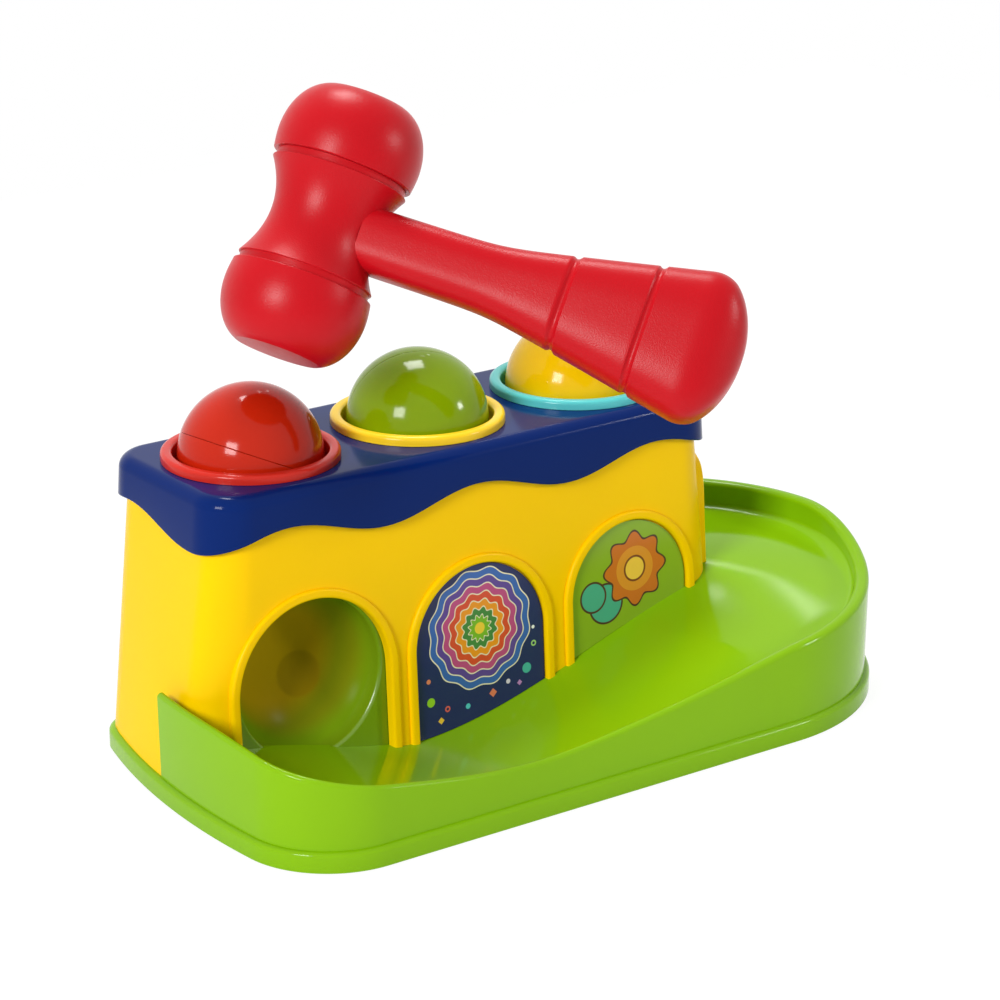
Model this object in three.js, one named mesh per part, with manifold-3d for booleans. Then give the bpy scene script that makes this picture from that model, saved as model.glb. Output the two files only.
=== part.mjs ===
import * as THREE from 'three';
import { mergeVertices } from 'three/addons/utils/BufferGeometryUtils.js';
import Module from 'manifold-3d';

const wasm = await Module();
wasm.setup();

// Pounding toy: a house with three balls in its roof, a ball track around it, and a hammer.
// Millimetres, +Z up. The origin is on the rest face under the middle hole, +X runs along the house
// to the round bowl, and -Y points to the front with the arches.

// Driving dimensions: balls, collars and clearances
const FIT = 0.3;
const SEAT = 0.1;
const BALL_R = 22.5;
const BALL_WALL = 1.6;
const BALL_SEAM = 0.2;
const BALL_RISE = 0.6;
const HOLE_PITCH = 62;
const COLLAR_GAP = 1.4;
const COLLAR_SLEEVE = 1.7;
const COLLAR_BRIM = 2;
const COLLAR_RISE = 3;
const COLLAR_ROUND = 1.3;
const GRIP_BITE = 1.1;
const GRIP_THICK = 3;
const GRIP_LIP = 1.2;

// Driving dimensions: house and roof
const ROOF_TOP = 96.4;
const ROOF_PLATE = 2.2;
const ROOF_FILLET = 4;
const ROOF_END_MARGIN = 5.1;
const ROOF_SIDE_MARGIN = 5.1;
const ROOF_CORNER = 13;
const SKIRT_WALL = 2.2;
const SKIRT_GAP = 0.5;
const SKIRT_MEAN = 15.4;
const SKIRT_WAVE = 3.3;
const SKIRT_WAVES = 7;
const DRAFT = 0.06;
const HOUSE_WALL = 2.4;
const CORNER_EASE = 1.2;
const POCKET_ARCH_R = 27.4;
const POCKET_ARCH_TOP = 59.8;
const MIDDLE_ARCH_R = 25;
const MIDDLE_ARCH_TOP = 58;
const RIGHT_ARCH_R = 23.4;
const RIGHT_ARCH_TOP = 59.8;
const RIGHT_ARCH_SHIFT = -2.8;
const BEAD_WIDTH = 3;
const BEAD_RISE = 1.2;
const EXIT_BEAD_TOP = 76.5;
const PANEL_RECESS = 1.2;
const STICKER_THICK = 0.5;
const STICKER_MARGIN = 0.5;
const STICKER_FLOOR_GAP = 1.4;
const POCKET_R = 25.3;
const POCKET_HEIGHT = 34.3;
const POCKET_DEPTH = 16;
const POCKET_WALL = 2;
const EXIT_CLEARANCE = 1.5;

// Driving dimensions: base
const FLANGE_HEIGHT = 6.3;
const FLANGE_STEP = 1.8;
const FLANGE_ROUND = 1.7;
const FLANGE_WIDTH = 4.4;
const TRACK_DEPTH = 60.4;
const LEFT_BULGE = 11.6;
const LEFT_BOW_R = 265;
const LEFT_BOW_Y = -45;
const FRONT_LEFT_CORNER = 30;
const BACK_LEFT_CORNER = 14;
const BOWL_REACH = 47.2;
const TRAY_LEFT_END_Y = -14;
const TRAY_BACK_END = 12;
const TRAY_WALL = 2.2;
const RIM_FLARE = 0.6;
const RIM_ROUND = 2;
const RIM_FLAT = 0.01;
const RIM_TOE = 0.4;
const RIM_WIDTH_LEFT = 2.6;
const RIM_WIDTH_BOWL = 4.8;
const FLOOR_FILLET = 3;
const FLOOR_LOW = 4.5;
const FLOOR_HIGH = 38;
const SWEEP_RISE = 13;
const SWEEP_START = 4;
const SWEEP_END = 84;
const RAMP_START = -12;
const RAMP_END = 142;
const RIM_DIP = 18;
const RIM_DIP_X = -20;
const RIM_LEFT = 33.8;
const RIM_LEFT_RUN = 130;
const RIM_RAMP_RISE = 21.3;
const RIM_RAMP_RUN = 133;
const RIM_RAMP_POWER = 1.4;
const RIM_BACK_RISE = 8.7;
const RIM_BACK_FROM = 108;
const RIM_BACK_TO = 136;
const BOWL_TURN_R = 35;
const RISER_INSET = 5.5;
const RISER_STEP = 3;
const RISER_TURN = 30;
const PLATE_THICK = 2;
const BLOCK_MARGIN = 1;

// Driving dimensions: chute, screws and hammer
const CHUTE_SLOPE = 0.04;
const CHUTE_STEP = 0.6;
const CHUTE_WALL = 2;
const CHUTE_FRONT = -13;
const CHUTE_SIDE = 7;
const CHUTE_LEFT_GAP = 5;
const RIB_POSITIONS = [-55, 40];
const RIB_THICK = 2.4;
const BOSS_R = 4;
const BOSS_TOP = 30;
const BOSS_OFFSET = 5;
const TRAY_SCREW_RUNS = [58, 104, 128];
const TRAY_SCREW_REACH = 0.62;
const SCREW_R = 1.2;
const SCREW_HEAD_R = 3;
const SCREW_HEAD_HEIGHT = 1.7;
const SCREW_LENGTH = 17;
const SCREW_TIP = 1;
const HEAD_CENTRE = new THREE.Vector3(-41.45, -10.42, 168);
const HEAD_HEADING = THREE.MathUtils.degToRad(-49.8);
const HEAD_PITCH = THREE.MathUtils.degToRad(14.7);
const HEAD_ROLL = THREE.MathUtils.degToRad(-28.4);
const BARREL_LENGTH = 35.5;
const BARREL_WAIST_R = 16.1;
const BARREL_END_R = 21.2;
const BARREL_BORE_R = 9;
const CAP_LENGTH = 23.5;
const CAP_EDGE_R = 21.8;
const CAP_R = 22.5;
const CAP_FACE_R = 10;
const CAP_BELLY_AT = 0.27;
const CAP_WALL = 2.6;
const CAP_SPIGOT = 5;
const HANDLE_REACH = 132.5;
const SHAFT_HALF = 9.8;
const GRIP_HALF_HEIGHT = 24.4;
const GRIP_HALF_WIDTH = 13.5;
const GRIP_START = 55;
const GRIP_ROUND = 16;
const GRIP_GROOVES = [77, 102];
const GRIP_GROOVE_DEPTH = 0.9;
const GRIP_GROOVE_HALF = 2;
const HANDLE_WALL = 2.4;
const HANDLE_SINK = 3;
const HANDLE_BOXINESS = 0.62;
const HANDLE_STEPS = 16;

// Steps of curved stretches
const ARC_STEPS = 6;
const CURVE_STEPS = 10;
const TURN_STEPS = 24;
const SMALL_TURN_STEPS = 12;
const POST_STEPS = 16;

// Sizes that follow from the driving dimensions
const ballZ = ROOF_TOP + BALL_RISE;
const collarInR = BALL_R + COLLAR_GAP;
const collarSleeveR = collarInR + COLLAR_SLEEVE;
const collarOutR = collarSleeveR + COLLAR_BRIM;
const roofLength = HOLE_PITCH + collarOutR + ROOF_END_MARGIN;
const roofDepth = collarOutR + ROOF_SIDE_MARGIN;
const houseSetback = SKIRT_WALL + SKIRT_GAP;
const houseLength = (z) => roofLength - houseSetback + DRAFT * (ROOF_TOP - z);
const houseDepth = (z) => roofDepth - houseSetback + DRAFT * (ROOF_TOP - z);
const houseCorner = ROOF_CORNER - houseSetback + CORNER_EASE;
const houseFoot = FLOOR_LOW + FIT;
const houseTop = ROOF_TOP - ROOF_PLATE - FIT;
const bulgeTop = ROOF_TOP - SKIRT_MEAN - SKIRT_WAVE;
const baseBack = houseDepth(houseFoot) + FLANGE_STEP;
const baseFront = -houseDepth(houseFoot) - TRACK_DEPTH;
const baseLeft = -houseLength(houseFoot) - LEFT_BULGE;
const bowlR = (baseBack - baseFront) / 2;
const bowlX = houseLength(houseFoot) + BOWL_REACH - bowlR;
const bowlY = baseBack - bowlR;
const bowX = baseLeft + LEFT_BOW_R;
const deckLow = PLATE_THICK + FIT;
const riserFront = -houseDepth(houseFoot) + RISER_INSET;
const riserRight = houseLength(FLOOR_HIGH) - HOUSE_WALL - RISER_INSET;
const riserBack = baseBack - FLANGE_STEP - RIM_WIDTH_BOWL - TRAY_WALL - 1;
const riserLeft = -houseLength(houseFoot) + 1;
const chuteBack = riserBack - 2 * FIT;
const holes = { left: -HOLE_PITCH, middle: 0, right: HOLE_PITCH };

// Small helpers: clean geometry, solids and lofts
function clean(geometry) {
  const bare = geometry.clone();
  for (const key of Object.keys(bare.attributes)) {
    if (key !== 'position') bare.deleteAttribute(key);
  }
  const merged = mergeVertices(bare, 1e-4);
  const index = [];
  const source = merged.index.array;
  for (let i = 0; i < source.length; i += 3) {
    const [a, b, c] = [source[i], source[i + 1], source[i + 2]];
    if (a !== b && b !== c && c !== a) index.push(a, b, c);
  }
  merged.setIndex(signedVolume(merged, index) < 0 ? index.reverse() : index);
  merged.computeVertexNormals();
  return merged;
}

function signedVolume(geometry, index) {
  const position = geometry.attributes.position;
  const [a, b, c] = [new THREE.Vector3(), new THREE.Vector3(), new THREE.Vector3()];
  let total = 0;
  for (let i = 0; i < index.length; i += 3) {
    a.fromBufferAttribute(position, index[i]);
    b.fromBufferAttribute(position, index[i + 1]);
    c.fromBufferAttribute(position, index[i + 2]);
    total += a.dot(b.cross(c)) / 6;
  }
  return total;
}

function solid(geometry) {
  const tidy = clean(geometry);
  return new wasm.Manifold(new wasm.Mesh({
    numProp: 3,
    vertProperties: new Float32Array(tidy.attributes.position.array),
    triVerts: new Uint32Array(tidy.index.array),
  }));
}

function geometryOf(shape) {
  if (shape.isBufferGeometry) return clean(shape);
  const mesh = shape.getMesh();
  const geometry = new THREE.BufferGeometry();
  const stride = mesh.numProp;
  const points = new Float32Array((mesh.vertProperties.length / stride) * 3);
  for (let i = 0; i < points.length / 3; i += 1) {
    points.set(mesh.vertProperties.subarray(i * stride, i * stride + 3), i * 3);
  }
  geometry.setAttribute('position', new THREE.BufferAttribute(points, 3));
  geometry.setIndex(Array.from(mesh.triVerts));
  geometry.computeVertexNormals();
  return geometry;
}

// A loft joins rings of equally many points; an open loft gets a flat cap at each end.
function loft(rings, closed = false) {
  const count = rings[0].length;
  const points = rings.flat();
  const index = [];
  const last = closed ? rings.length : rings.length - 1;
  for (let i = 0; i < last; i += 1) {
    const from = i * count;
    const to = ((i + 1) % rings.length) * count;
    for (let j = 0; j < count; j += 1) {
      const k = (j + 1) % count;
      index.push(from + j, to + j, to + k, from + j, to + k, from + k);
    }
  }
  if (!closed) {
    for (const [i, flip] of [[0, false], [rings.length - 1, true]]) {
      for (const face of capFaces(rings[i])) {
        const corners = face.map((j) => i * count + j);
        index.push(...(flip ? corners.reverse() : corners));
      }
    }
  }
  const geometry = new THREE.BufferGeometry().setFromPoints(points);
  geometry.setIndex(index);
  return geometry;
}

function capFaces(ring) {
  const normal = new THREE.Vector3();
  ring.forEach((p, i) => {
    const q = ring[(i + 1) % ring.length];
    normal.x += (p.y - q.y) * (p.z + q.z);
    normal.y += (p.z - q.z) * (p.x + q.x);
    normal.z += (p.x - q.x) * (p.y + q.y);
  });
  normal.normalize();
  const turn = new THREE.Quaternion().setFromUnitVectors(normal, new THREE.Vector3(0, 0, 1));
  const flat = ring.map((p) => {
    const q = p.clone().applyQuaternion(turn);
    return new THREE.Vector2(q.x, q.y);
  });
  return THREE.ShapeUtils.triangulateShape(flat, []);
}

function prism(shape, low, high) {
  const options = { depth: high - low, bevelEnabled: false, curveSegments: CURVE_STEPS };
  return new THREE.ExtrudeGeometry(shape, options).translate(0, 0, low);
}

// A turned piece from a profile of [radius, height] points, about the Z axis.
function turned(profile, steps = TURN_STEPS) {
  const points = profile.map(([r, z]) => new THREE.Vector2(r, z));
  return new THREE.LatheGeometry(points, steps).rotateX(Math.PI / 2);
}

function arc(cx, cz, rx, rz, from, to, steps) {
  return Array.from({ length: steps + 1 }, (_, i) => {
    const a = THREE.MathUtils.degToRad(from + ((to - from) * i) / steps);
    return [cx + rx * Math.cos(a), cz + rz * Math.sin(a)];
  });
}

const rise = (value, from, to) => THREE.MathUtils.smoothstep(value, from, to);

const toy = new THREE.Group();
const plastic = (color, roughness) => new THREE.MeshStandardMaterial({ color, roughness, metalness: 0 });
const steel = () => new THREE.MeshStandardMaterial({ color: 0xb8bbbf, roughness: 0.35, metalness: 1 });

function piece(name, shape, material, parent = toy) {
  const mesh = new THREE.Mesh(geometryOf(shape), material);
  mesh.name = name;
  parent.add(mesh);
  return mesh;
}

// Rounded rectangle as points with outward normals, from the middle of the front edge, anticlockwise.
// The steps are counted per half long side, per short side and per corner.
function roundedRing(halfX, halfY, radius, [longSteps, shortSteps, cornerSteps]) {
  const stations = [];
  const corners = [[1, -1, -90], [1, 1, 0], [-1, 1, 90], [-1, -1, 180]];
  const straight = (x0, y0, x1, y1, nx, ny, steps) => {
    for (let i = 0; i < steps; i += 1) {
      const t = i / steps;
      stations.push({ x: x0 + (x1 - x0) * t, y: y0 + (y1 - y0) * t, nx, ny });
    }
  };
  const [ix, iy] = [halfX - radius, halfY - radius];
  straight(0, -halfY, ix, -halfY, 0, -1, longSteps);
  corners.forEach(([sx, sy, start], k) => {
    for (let i = 0; i < cornerSteps; i += 1) {
      const a = THREE.MathUtils.degToRad(start + (90 * i) / cornerSteps);
      const [c, s] = [Math.cos(a), Math.sin(a)];
      stations.push({ x: sx * ix + radius * c, y: sy * iy + radius * s, nx: c, ny: s });
    }
    if (k === 0) straight(halfX, -iy, halfX, iy, 1, 0, shortSteps);
    if (k === 1) straight(ix, halfY, -ix, halfY, 0, 1, 2 * longSteps);
    if (k === 2) straight(-halfX, iy, -halfX, -iy, -1, 0, shortSteps);
    if (k === 3) straight(-ix, -halfY, 0, -halfY, 0, -1, longSteps);
  });
  return stations;
}

// Base outline: the edge of the foot flange, from the tray's left end forward and round to it again.
// Each station has its inward normal and run, the distance along the track from the middle of the front.
function baseOutline() {
  const stations = [];
  const cornerY = baseFront + FRONT_LEFT_CORNER;
  const cornerX = bowX - Math.sqrt((LEFT_BOW_R - FRONT_LEFT_CORNER) ** 2 - (cornerY - LEFT_BOW_Y) ** 2);
  const frontTurn = Math.atan2(cornerY - LEFT_BOW_Y, bowX - cornerX);
  const startTurn = Math.asin((TRAY_LEFT_END_Y - LEFT_BOW_Y) / LEFT_BOW_R);
  const backY = baseBack - BACK_LEFT_CORNER;
  const backX = bowX - Math.sqrt((LEFT_BOW_R - BACK_LEFT_CORNER) ** 2 - (backY - LEFT_BOW_Y) ** 2);
  const backTurn = Math.atan2(backY - LEFT_BOW_Y, bowX - backX);
  const cornerRun = FRONT_LEFT_CORNER * (Math.PI / 2 + frontTurn);
  const bow = (from, to, steps, zone, runAt) => {
    for (let i = 0; i < steps; i += 1) {
      const a = from + ((to - from) * i) / steps;
      const [c, s] = [Math.cos(a), Math.sin(a)];
      const run = runAt === null ? 0 : runAt - LEFT_BOW_R * (a - frontTurn);
      const [x, y] = [bowX - LEFT_BOW_R * c, LEFT_BOW_Y + LEFT_BOW_R * s];
      stations.push({ x, y, nx: c, ny: -s, run, zone });
    }
  };
  bow(startTurn, frontTurn, 6, 'left', cornerX - cornerRun);
  const turnSteps = ARC_STEPS;
  for (let i = 0; i < turnSteps; i += 1) {
    const a = frontTurn + ((-Math.PI / 2 - frontTurn) * i) / turnSteps;
    const [c, s] = [Math.cos(a), Math.sin(a)];
    const run = cornerX - cornerRun * (1 - i / turnSteps);
    const [x, y] = [cornerX - FRONT_LEFT_CORNER * c, cornerY + FRONT_LEFT_CORNER * s];
    stations.push({ x, y, nx: c, ny: -s, run, zone: 'left' });
  }
  const frontSteps = 11;
  for (let i = 0; i < frontSteps; i += 1) {
    const x = cornerX + ((bowlX - cornerX) * i) / frontSteps;
    stations.push({ x, y: baseFront, nx: 0, ny: 1, run: x, zone: 'front' });
  }
  const bowlSteps = 18;
  for (let i = 0; i <= bowlSteps; i += 1) {
    const a = (Math.PI * i) / bowlSteps;
    const [c, s] = [Math.cos(a), Math.sin(a)];
    const [x, y] = [bowlX + bowlR * s, bowlY - bowlR * c];
    stations.push({ x, y, nx: -s, ny: c, run: bowlX + BOWL_TURN_R * a, zone: 'bowl', turn: a });
  }
  const endRun = bowlX + BOWL_TURN_R * Math.PI;
  stations.push({ x: bowlX - TRAY_BACK_END, y: baseBack, nx: 0, ny: -1, run: endRun, zone: 'end' });
  stations.push({ x: backX, y: baseBack, nx: 0, ny: -1, run: 0, zone: 'house' });
  for (let i = 1; i < turnSteps; i += 1) {
    const a = Math.PI / 2 + ((backTurn - Math.PI / 2) * i) / turnSteps;
    const [c, s] = [Math.cos(a), Math.sin(a)];
    const [x, y] = [backX - BACK_LEFT_CORNER * c, backY + BACK_LEFT_CORNER * s];
    stations.push({ x, y, nx: c, ny: -s, run: 0, zone: 'house' });
  }
  bow(backTurn, startTurn, 4, 'house', null);
  return stations;
}

const outline = baseOutline();
const track = outline.filter((p) => p.zone !== 'house');
const floorAt = (run) => FLOOR_LOW + (FLOOR_HIGH - FLOOR_LOW) * rise(run, RAMP_START, RAMP_END)
  + SWEEP_RISE * rise(-run, SWEEP_START, SWEEP_END);

function rimAt(run) {
  if (run < RIM_DIP_X) {
    return RIM_DIP + (RIM_LEFT - RIM_DIP) * rise(RIM_DIP_X - run, 0, RIM_LEFT_RUN);
  }
  const share = Math.min(1, (run - RIM_DIP_X) / RIM_RAMP_RUN);
  const ramp = RIM_RAMP_RISE * share ** RIM_RAMP_POWER;
  return RIM_DIP + ramp + RIM_BACK_RISE * rise(run, RIM_BACK_FROM, RIM_BACK_TO);
}

// The inner edge of the track floor runs under the house walls: one point for each track station,
// with the normal that points into the house.
function riserPath() {
  const left = track.filter((p) => p.zone === 'left').length;
  const lastTurn = (5 * Math.PI) / 6;
  const start = riserLeft + RISER_STEP;
  const corner = riserRight - RISER_TURN;
  const around = RISER_TURN + riserBack - riserFront;
  const points = track.map((p, i) => {
    if (p.zone === 'left') {
      const t = i / left;
      const y = TRAY_LEFT_END_Y + (riserFront - TRAY_LEFT_END_Y) * t;
      return new THREE.Vector2(riserLeft + RISER_STEP * t, y);
    }
    if (p.zone === 'front') {
      const t = (p.x - track[left].x) / (bowlX - track[left].x);
      return new THREE.Vector2(start + (corner - start) * t, riserFront);
    }
    if (p.zone === 'bowl' && p.turn <= lastTurn) {
      const along = around * (p.turn / lastTurn);
      const up = Math.max(0, along - RISER_TURN);
      return new THREE.Vector2(corner + Math.min(along, RISER_TURN), riserFront + up);
    }
    const t = p.zone === 'end' ? 1 : (p.turn - lastTurn) / (Math.PI / 5);
    return new THREE.Vector2(riserRight + (bowlX - TRAY_BACK_END - riserRight) * t, riserBack);
  });
  return points.map((q, i) => {
    const from = points[Math.max(0, i - 1)];
    const to = points[Math.min(points.length - 1, i + 1)];
    const along = to.clone().sub(from).normalize();
    return { x: q.x, y: q.y, nx: -along.y, ny: along.x };
  });
}

const risers = riserPath();

// One cross-section of the tray: outer wall, rolled rim, floor, riser and underside, grown by a
// clearance. The block form fills the underside, to cut the tray's room out of a neighbour.
function traySection(i, grow, block) {
  const p = track[i];
  const floor = floorAt(p.run);
  const rim = rimAt(p.run);
  const q = risers[i];
  const widening = rise(p.run, RIM_DIP_X, RAMP_END);
  const width = RIM_WIDTH_LEFT + (RIM_WIDTH_BOWL - RIM_WIDTH_LEFT) * widening;
  const step = rim - floor;
  const round = Math.min(RIM_ROUND, 0.4 * step, width / 2);
  const room = Math.hypot(q.x - p.x, q.y - p.y) - FLANGE_STEP - RIM_WIDTH_BOWL - TRAY_WALL;
  const fillet = Math.min(FLOOR_FILLET, 0.45 * step, 0.6 * room);
  const outside = block ? -BLOCK_MARGIN : FLANGE_STEP - RIM_FLARE;
  const inside = FLANGE_STEP - RIM_FLARE + width + grow;
  const toe = inside + RIM_TOE;
  const slide = i === 0 ? -grow : i === track.length - 1 ? grow : 0;
  const [sx, sy] = [p.x + p.ny * slide, p.y - p.nx * slide];
  const inset = (d, z) => new THREE.Vector3(sx + p.nx * d, sy + p.ny * d, z);
  const [qx, qy] = [q.x + p.ny * slide, q.y - p.nx * slide];
  const atRiser = (d, z) => new THREE.Vector3(qx + q.nx * d, qy + q.ny * d, z);
  const top = rim + grow;
  const foot = block ? inset(-BLOCK_MARGIN, -BLOCK_MARGIN) : inset(FLANGE_STEP, deckLow);
  const points = [foot, inset(outside, top - round)];
  for (const a of [40, 90].map(THREE.MathUtils.degToRad)) {
    points.push(inset(outside + round * (1 - Math.cos(a)), top - round + round * Math.sin(a)));
  }
  for (const a of [90, 40, 0].map(THREE.MathUtils.degToRad)) {
    points.push(inset(inside - round * (1 - Math.cos(a)) + RIM_FLAT, top - round + round * Math.sin(a)));
  }
  points.push(inset(toe, floor + grow + fillet));
  points.push(inset(toe + 0.3 * fillet, floor + grow + 0.3 * fillet));
  points.push(inset(toe + fillet, floor + grow));
  points.push(atRiser(grow, floor + grow));
  if (block) {
    points.push(atRiser(grow, -BLOCK_MARGIN));
    return points;
  }
  const under = Math.max(floor - TRAY_WALL, deckLow + 2 * SEAT);
  points.push(atRiser(0, deckLow), atRiser(-TRAY_WALL, deckLow), atRiser(-TRAY_WALL, under));
  points.push(inset(toe + fillet, under));
  points.push(inset(FLANGE_STEP + TRAY_WALL, under), inset(FLANGE_STEP + TRAY_WALL, deckLow));
  return points;
}

function flangeRing(grow) {
  const round = FLANGE_ROUND + grow;
  const profile = [
    [-grow, 0],
    ...arc(FLANGE_ROUND, FLANGE_HEIGHT - FLANGE_ROUND, round, round, 180, 90, 3),
    [FLANGE_WIDTH + grow, FLANGE_HEIGHT + grow],
    [FLANGE_WIDTH + grow, 0],
  ];
  const section = (p) => profile.map(([d, z]) => new THREE.Vector3(p.x + p.nx * d, p.y + p.ny * d, z));
  return loft(outline.map(section), true);
}

const insetOutline = (d) => outline.map((p) => new THREE.Vector2(p.x + p.nx * d, p.y + p.ny * d));
const trayForm = (grow, block) => loft(track.map((_, i) => traySection(i, grow, block)));

// Screw places: house screws reach bosses in the house, tray screws reach bosses under the ramp.
const bossY = houseDepth(BOSS_TOP) - HOUSE_WALL - BOSS_R - BOSS_OFFSET;
const houseScrews = [
  [-HOLE_PITCH * 1.36, bossY],
  [0, bossY + 3],
  [HOLE_PITCH * 0.8, bossY],
  [-HOLE_PITCH / 3.6, -bossY],
];
const trayScrews = TRAY_SCREW_RUNS.map((run) => {
  const a = Math.max(0, (run - bowlX) / BOWL_TURN_R);
  const reach = bowlR * TRAY_SCREW_REACH;
  return [Math.min(run, bowlX) + reach * Math.sin(a), bowlY - reach * Math.cos(a), floorAt(run)];
});

function post(x, y, r, low, high, steps = POST_STEPS) {
  const profile = [[0, low], [r, low], [r, high], [0, high]];
  return solid(turned(profile, steps).translate(x, y, 0));
}

const screwHole = (x, y, low, high) => post(x, y, SCREW_R + FIT, low, high, SMALL_TURN_STEPS);

// Base tray: flange, track with rim and ramp, and the deck that the house stands on
const deckInset = FLANGE_STEP + TRAY_WALL;
const deckEdge = [
  ...outline
    .filter((p) => p.zone === 'house')
    .map((p) => new THREE.Vector2(p.x + p.nx * deckInset, p.y + p.ny * deckInset)),
  ...risers.map((q) => new THREE.Vector2(q.x, q.y)),
];
let baseTray = solid(flangeRing(0))
  .add(solid(trayForm(0, false)))
  .add(solid(prism(new THREE.Shape(deckEdge), deckLow, FLOOR_LOW)));
for (const [x, y, floor] of trayScrews) {
  baseTray = baseTray.add(post(x, y, BOSS_R, deckLow, floor - TRAY_WALL / 2));
  baseTray = baseTray.subtract(screwHole(x, y, 0, SCREW_LENGTH + SCREW_TIP + FIT));
}
for (const [x, y] of houseScrews) {
  baseTray = baseTray.subtract(screwHole(x, y, 0, FLOOR_LOW + 1));
}
const leafGreen = 0x8cc63a;
piece('base_tray', baseTray, plastic(leafGreen, 0.25));

// Base plate and its countersunk screws
let basePlate = solid(prism(new THREE.Shape(insetOutline(FLANGE_WIDTH + FIT)), 0, PLATE_THICK));
const sink = [
  [0, -SEAT], [SCREW_HEAD_R + FIT + SEAT, -SEAT], [SCREW_R + FIT, SCREW_HEAD_HEIGHT],
  [SCREW_R + FIT, PLATE_THICK + 1], [0, PLATE_THICK + 1],
];
const screwForm = [
  [0, SEAT], [SCREW_HEAD_R, SEAT], [SCREW_R, SCREW_HEAD_HEIGHT],
  [SCREW_R, SCREW_LENGTH], [0, SCREW_LENGTH + SCREW_TIP],
];
for (const [prefix, places] of [['house_screw', houseScrews], ['tray_screw', trayScrews]]) {
  places.forEach(([x, y], i) => {
    basePlate = basePlate.subtract(solid(turned(sink, SMALL_TURN_STEPS).translate(x, y, 0)));
    piece(`${prefix}_${i + 1}`, turned(screwForm, SMALL_TURN_STEPS).translate(x, y, 0), steel());
  });
}
piece('base_plate', basePlate, plastic(leafGreen, 0.4));

// House shell: drafted walls; below the skirt the left end bulges out to follow the base
function houseRing(z, inset) {
  const [halfX, halfY, radius] = [houseLength(z) - inset, houseDepth(z) - inset, houseCorner - inset];
  const share = Math.max(0, (bulgeTop - z) / (bulgeTop - houseFoot));
  return roundedRing(halfX, halfY, radius, [1, 4, 6]).map((p) => {
    const bow = bowX - Math.sqrt(LEFT_BOW_R ** 2 - (p.y - LEFT_BOW_Y) ** 2) + FLANGE_STEP;
    const bulge = Math.max(0, -houseLength(houseFoot) - bow);
    const weight = THREE.MathUtils.clamp((-p.x - (halfX - radius)) / radius, 0, 1);
    return new THREE.Vector3(p.x - share * bulge * weight, p.y, z);
  });
}

function houseBlock(inset, low, high) {
  return solid(loft([low, bulgeTop, high].map((z) => houseRing(z, inset))));
}

// Shapes on the drafted front wall are drawn in its own plane: x along it, y up it, z out of it.
const tilt = Math.atan(DRAFT);
const onFront = (x) => new THREE.Matrix4()
  .makeBasis(
    new THREE.Vector3(1, 0, 0),
    new THREE.Vector3(0, Math.sin(tilt), Math.cos(tilt)),
    new THREE.Vector3(0, -Math.cos(tilt), Math.sin(tilt)),
  )
  .setPosition(x, -houseDepth(0), 0);

function archShape(r, top, foot) {
  const spring = top - r;
  const shape = new THREE.Shape();
  shape.moveTo(-r, foot);
  shape.lineTo(r, foot);
  shape.lineTo(r, spring);
  shape.absarc(0, spring, r, 0, Math.PI, false);
  shape.closePath();
  return shape;
}

const arches = {
  left: { x: holes.left, r: POCKET_ARCH_R, top: POCKET_ARCH_TOP, depth: 2 * HOUSE_WALL },
  middle: { x: holes.middle, r: MIDDLE_ARCH_R, top: MIDDLE_ARCH_TOP, depth: PANEL_RECESS },
  right: { x: holes.right + RIGHT_ARCH_SHIFT, r: RIGHT_ARCH_R, top: RIGHT_ARCH_TOP, depth: PANEL_RECESS },
};
const trayRoom = solid(trayForm(FIT, true)).add(solid(flangeRing(FIT)));

let house = houseBlock(0, houseFoot, houseTop);
house = house.subtract(houseBlock(HOUSE_WALL, houseFoot - 1, houseTop + 1));
for (const { x, r, top, depth } of Object.values(arches)) {
  const border = archShape(r + BEAD_WIDTH, top + BEAD_WIDTH, houseFoot);
  const bead = prism(border, -HOUSE_WALL / 2, BEAD_RISE);
  const opening = prism(archShape(r, top, 0), -depth, BEAD_RISE + 1);
  house = house.add(solid(bead.applyMatrix4(onFront(x))));
  house = house.subtract(solid(opening.applyMatrix4(onFront(x))));
}
const exitR = BALL_R + EXIT_CLEARANCE;
const exitMiddle = FLOOR_HIGH + exitR;
const alongX = new THREE.Matrix4().makeBasis(
  new THREE.Vector3(0, 1, 0), new THREE.Vector3(0, 0, 1), new THREE.Vector3(1, 0, 0),
);
const onRight = new THREE.Matrix4()
  .makeBasis(
    new THREE.Vector3(0, 1, 0),
    new THREE.Vector3(-Math.sin(tilt), 0, Math.cos(tilt)),
    new THREE.Vector3(Math.cos(tilt), 0, Math.sin(tilt)),
  )
  .setPosition(houseLength(0), 0, 0);
const exitBorder = archShape(exitR + BEAD_WIDTH, exitMiddle + exitR + BEAD_WIDTH, houseFoot);
const exitBead = solid(prism(exitBorder, -0.9 * HOUSE_WALL, BEAD_RISE).applyMatrix4(onRight));
house = house.add(exitBead.trimByPlane([0, 0, -1], -EXIT_BEAD_TOP));
const exitOut = houseLength(0) + BEAD_RISE + 1;
const exitCut = prism(archShape(exitR, exitMiddle + exitR, FLOOR_LOW), riserRight, exitOut);
house = house.subtract(solid(exitCut.applyMatrix4(alongX)));
for (const [x, y] of houseScrews) {
  const wall = Math.sign(y) * (houseDepth(BOSS_TOP) - 0.75 * HOUSE_WALL);
  const ribFoot = FLANGE_HEIGHT + 4;
  const rib = new THREE.BoxGeometry(HOUSE_WALL, Math.abs(wall - y), BOSS_TOP - ribFoot);
  rib.translate(x, (wall + y) / 2, (BOSS_TOP + ribFoot) / 2);
  house = house.add(post(x, y, BOSS_R, houseFoot, BOSS_TOP)).add(solid(rib));
  house = house.subtract(screwHole(x, y, houseFoot - 1, SCREW_LENGTH + SCREW_TIP + FIT));
}
house = house.subtract(trayRoom);
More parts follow.
